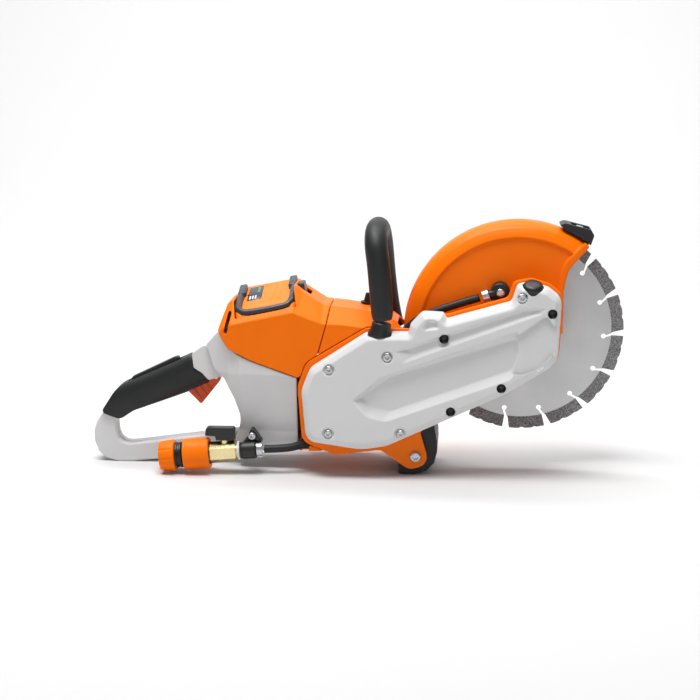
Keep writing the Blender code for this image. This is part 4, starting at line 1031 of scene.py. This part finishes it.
def finish_nodes():
    """Eased edges and a finish on each CAD node that stays as it is."""
    for name, finish in CAD_FINISH.items():
        node = NODES[name]
        if not node.data.materials:
            node.data.materials.append(None)
        for i in range(len(node.data.materials)):
            node.data.materials[i] = finish.material
        bevel = node.modifiers.new("eased_edges", "BEVEL")
        bevel.width = 0.0003
        bevel.segments = 2
        bevel.limit_method = "ANGLE"
        bevel.angle_limit = math.radians(35)


# ---------------------------------------------------------------- stage, light and camera


def make_stage():
    """A pale floor that sweeps up behind into a backdrop."""
    half, bend_start, bend, height, steps = 6.0, 1.2, 0.9, 5.0, 12
    profile = [(-half, 0.0), (bend_start, 0.0)]
    for k in range(1, steps + 1):
        angle = math.radians(90 * k / steps)
        profile.append((bend_start + bend * math.sin(angle), bend - bend * math.cos(angle)))
    profile.append((bend_start + bend, height))
    work = bmesh.new()
    rows = []
    for y, z in profile:
        rows.append([work.verts.new((x, y, z)) for x in (-half, half)])
    for one, two in zip(rows, rows[1:]):
        work.faces.new((one[0], one[1], two[1], two[0]))
    floor = new_object("studio_floor", work)
    floor.data.shade_smooth()
    finish = Finish("floor_paint", (0.67, 0.67, 0.67), 0.6, specular=0.1)
    finish.mix_colour(finish.range(finish.noise(3, 3), 0.3, 0.8, 0.0, 0.3), (0.65, 0.65, 0.65))
    floor.data.materials.append(finish.material)
    floor.location.z = -0.0002


def area(name, place, target, size, energy):
    """A softbox at place, facing target, of size (wide, high) in metres."""
    data = bpy.data.lights.new(name, "AREA")
    data.shape = "RECTANGLE"
    data.size, data.size_y = size
    data.energy = energy
    made = bpy.data.objects.new(name, data)
    made.location = place
    made.rotation_mode = "QUATERNION"
    made.rotation_quaternion = (Vector(target) - Vector(place)).to_track_quat("-Z", "Y")
    bpy.context.scene.collection.objects.link(made)


def make_light():
    area("key_softbox", (-0.25, -0.46, 2.0), (0, 0, 0.1), (1.5, 0.6), 44)
    area("top_softbox", (0.1, 0.4, 1.9), (0, 0.05, 0.1), (2.0, 0.8), 7)
    area("front_fill", (0.6, -2.4, 0.7), (0, 0, 0.12), (1.6, 0.8), 3.5)
    area("backdrop_wash", (0.0, 0.9, 2.4), (0, 2.1, 0.9), (4.0, 0.8), 60)
    world = bpy.data.worlds.new("studio")
    world.use_nodes = True
    world.node_tree.nodes["Background"].inputs["Color"].default_value = (1, 1, 1, 1)
    world.node_tree.nodes["Background"].inputs["Strength"].default_value = 0.2
    bpy.context.scene.world = world
    bpy.context.scene.view_settings.view_transform = "Standard"
    bpy.context.scene.view_settings.look = "None"


def make_camera():
    """Almost straight at the near side, from a little above."""
    azimuth, elevation, distance = math.radians(4), math.radians(11), 2.0
    across = math.cos(elevation)
    back = Vector((math.sin(azimuth) * across, -math.cos(azimuth) * across, math.sin(elevation)))
    target = (Vector((0, 0, 131.5)) + SHIFT) * 0.001
    data = bpy.data.cameras.new("camera")
    data.sensor_width = 36
    data.lens = 90.3
    camera = bpy.data.objects.new("camera", data)
    camera.location = target + back * distance
    camera.rotation_mode = "QUATERNION"
    camera.rotation_quaternion = (-back).to_track_quat("-Z", "Y")
    bpy.context.scene.collection.objects.link(camera)
    bpy.context.scene.camera = camera


make_cover()
make_case()
make_fasteners()
make_button()
make_disc()
make_guard()
make_guard_lever()
make_elbow()
make_shells()
make_grip()
make_front_handle()
make_battery()
make_inlet()
make_hose()
finish_nodes()
make_stage()
make_light()
make_camera()
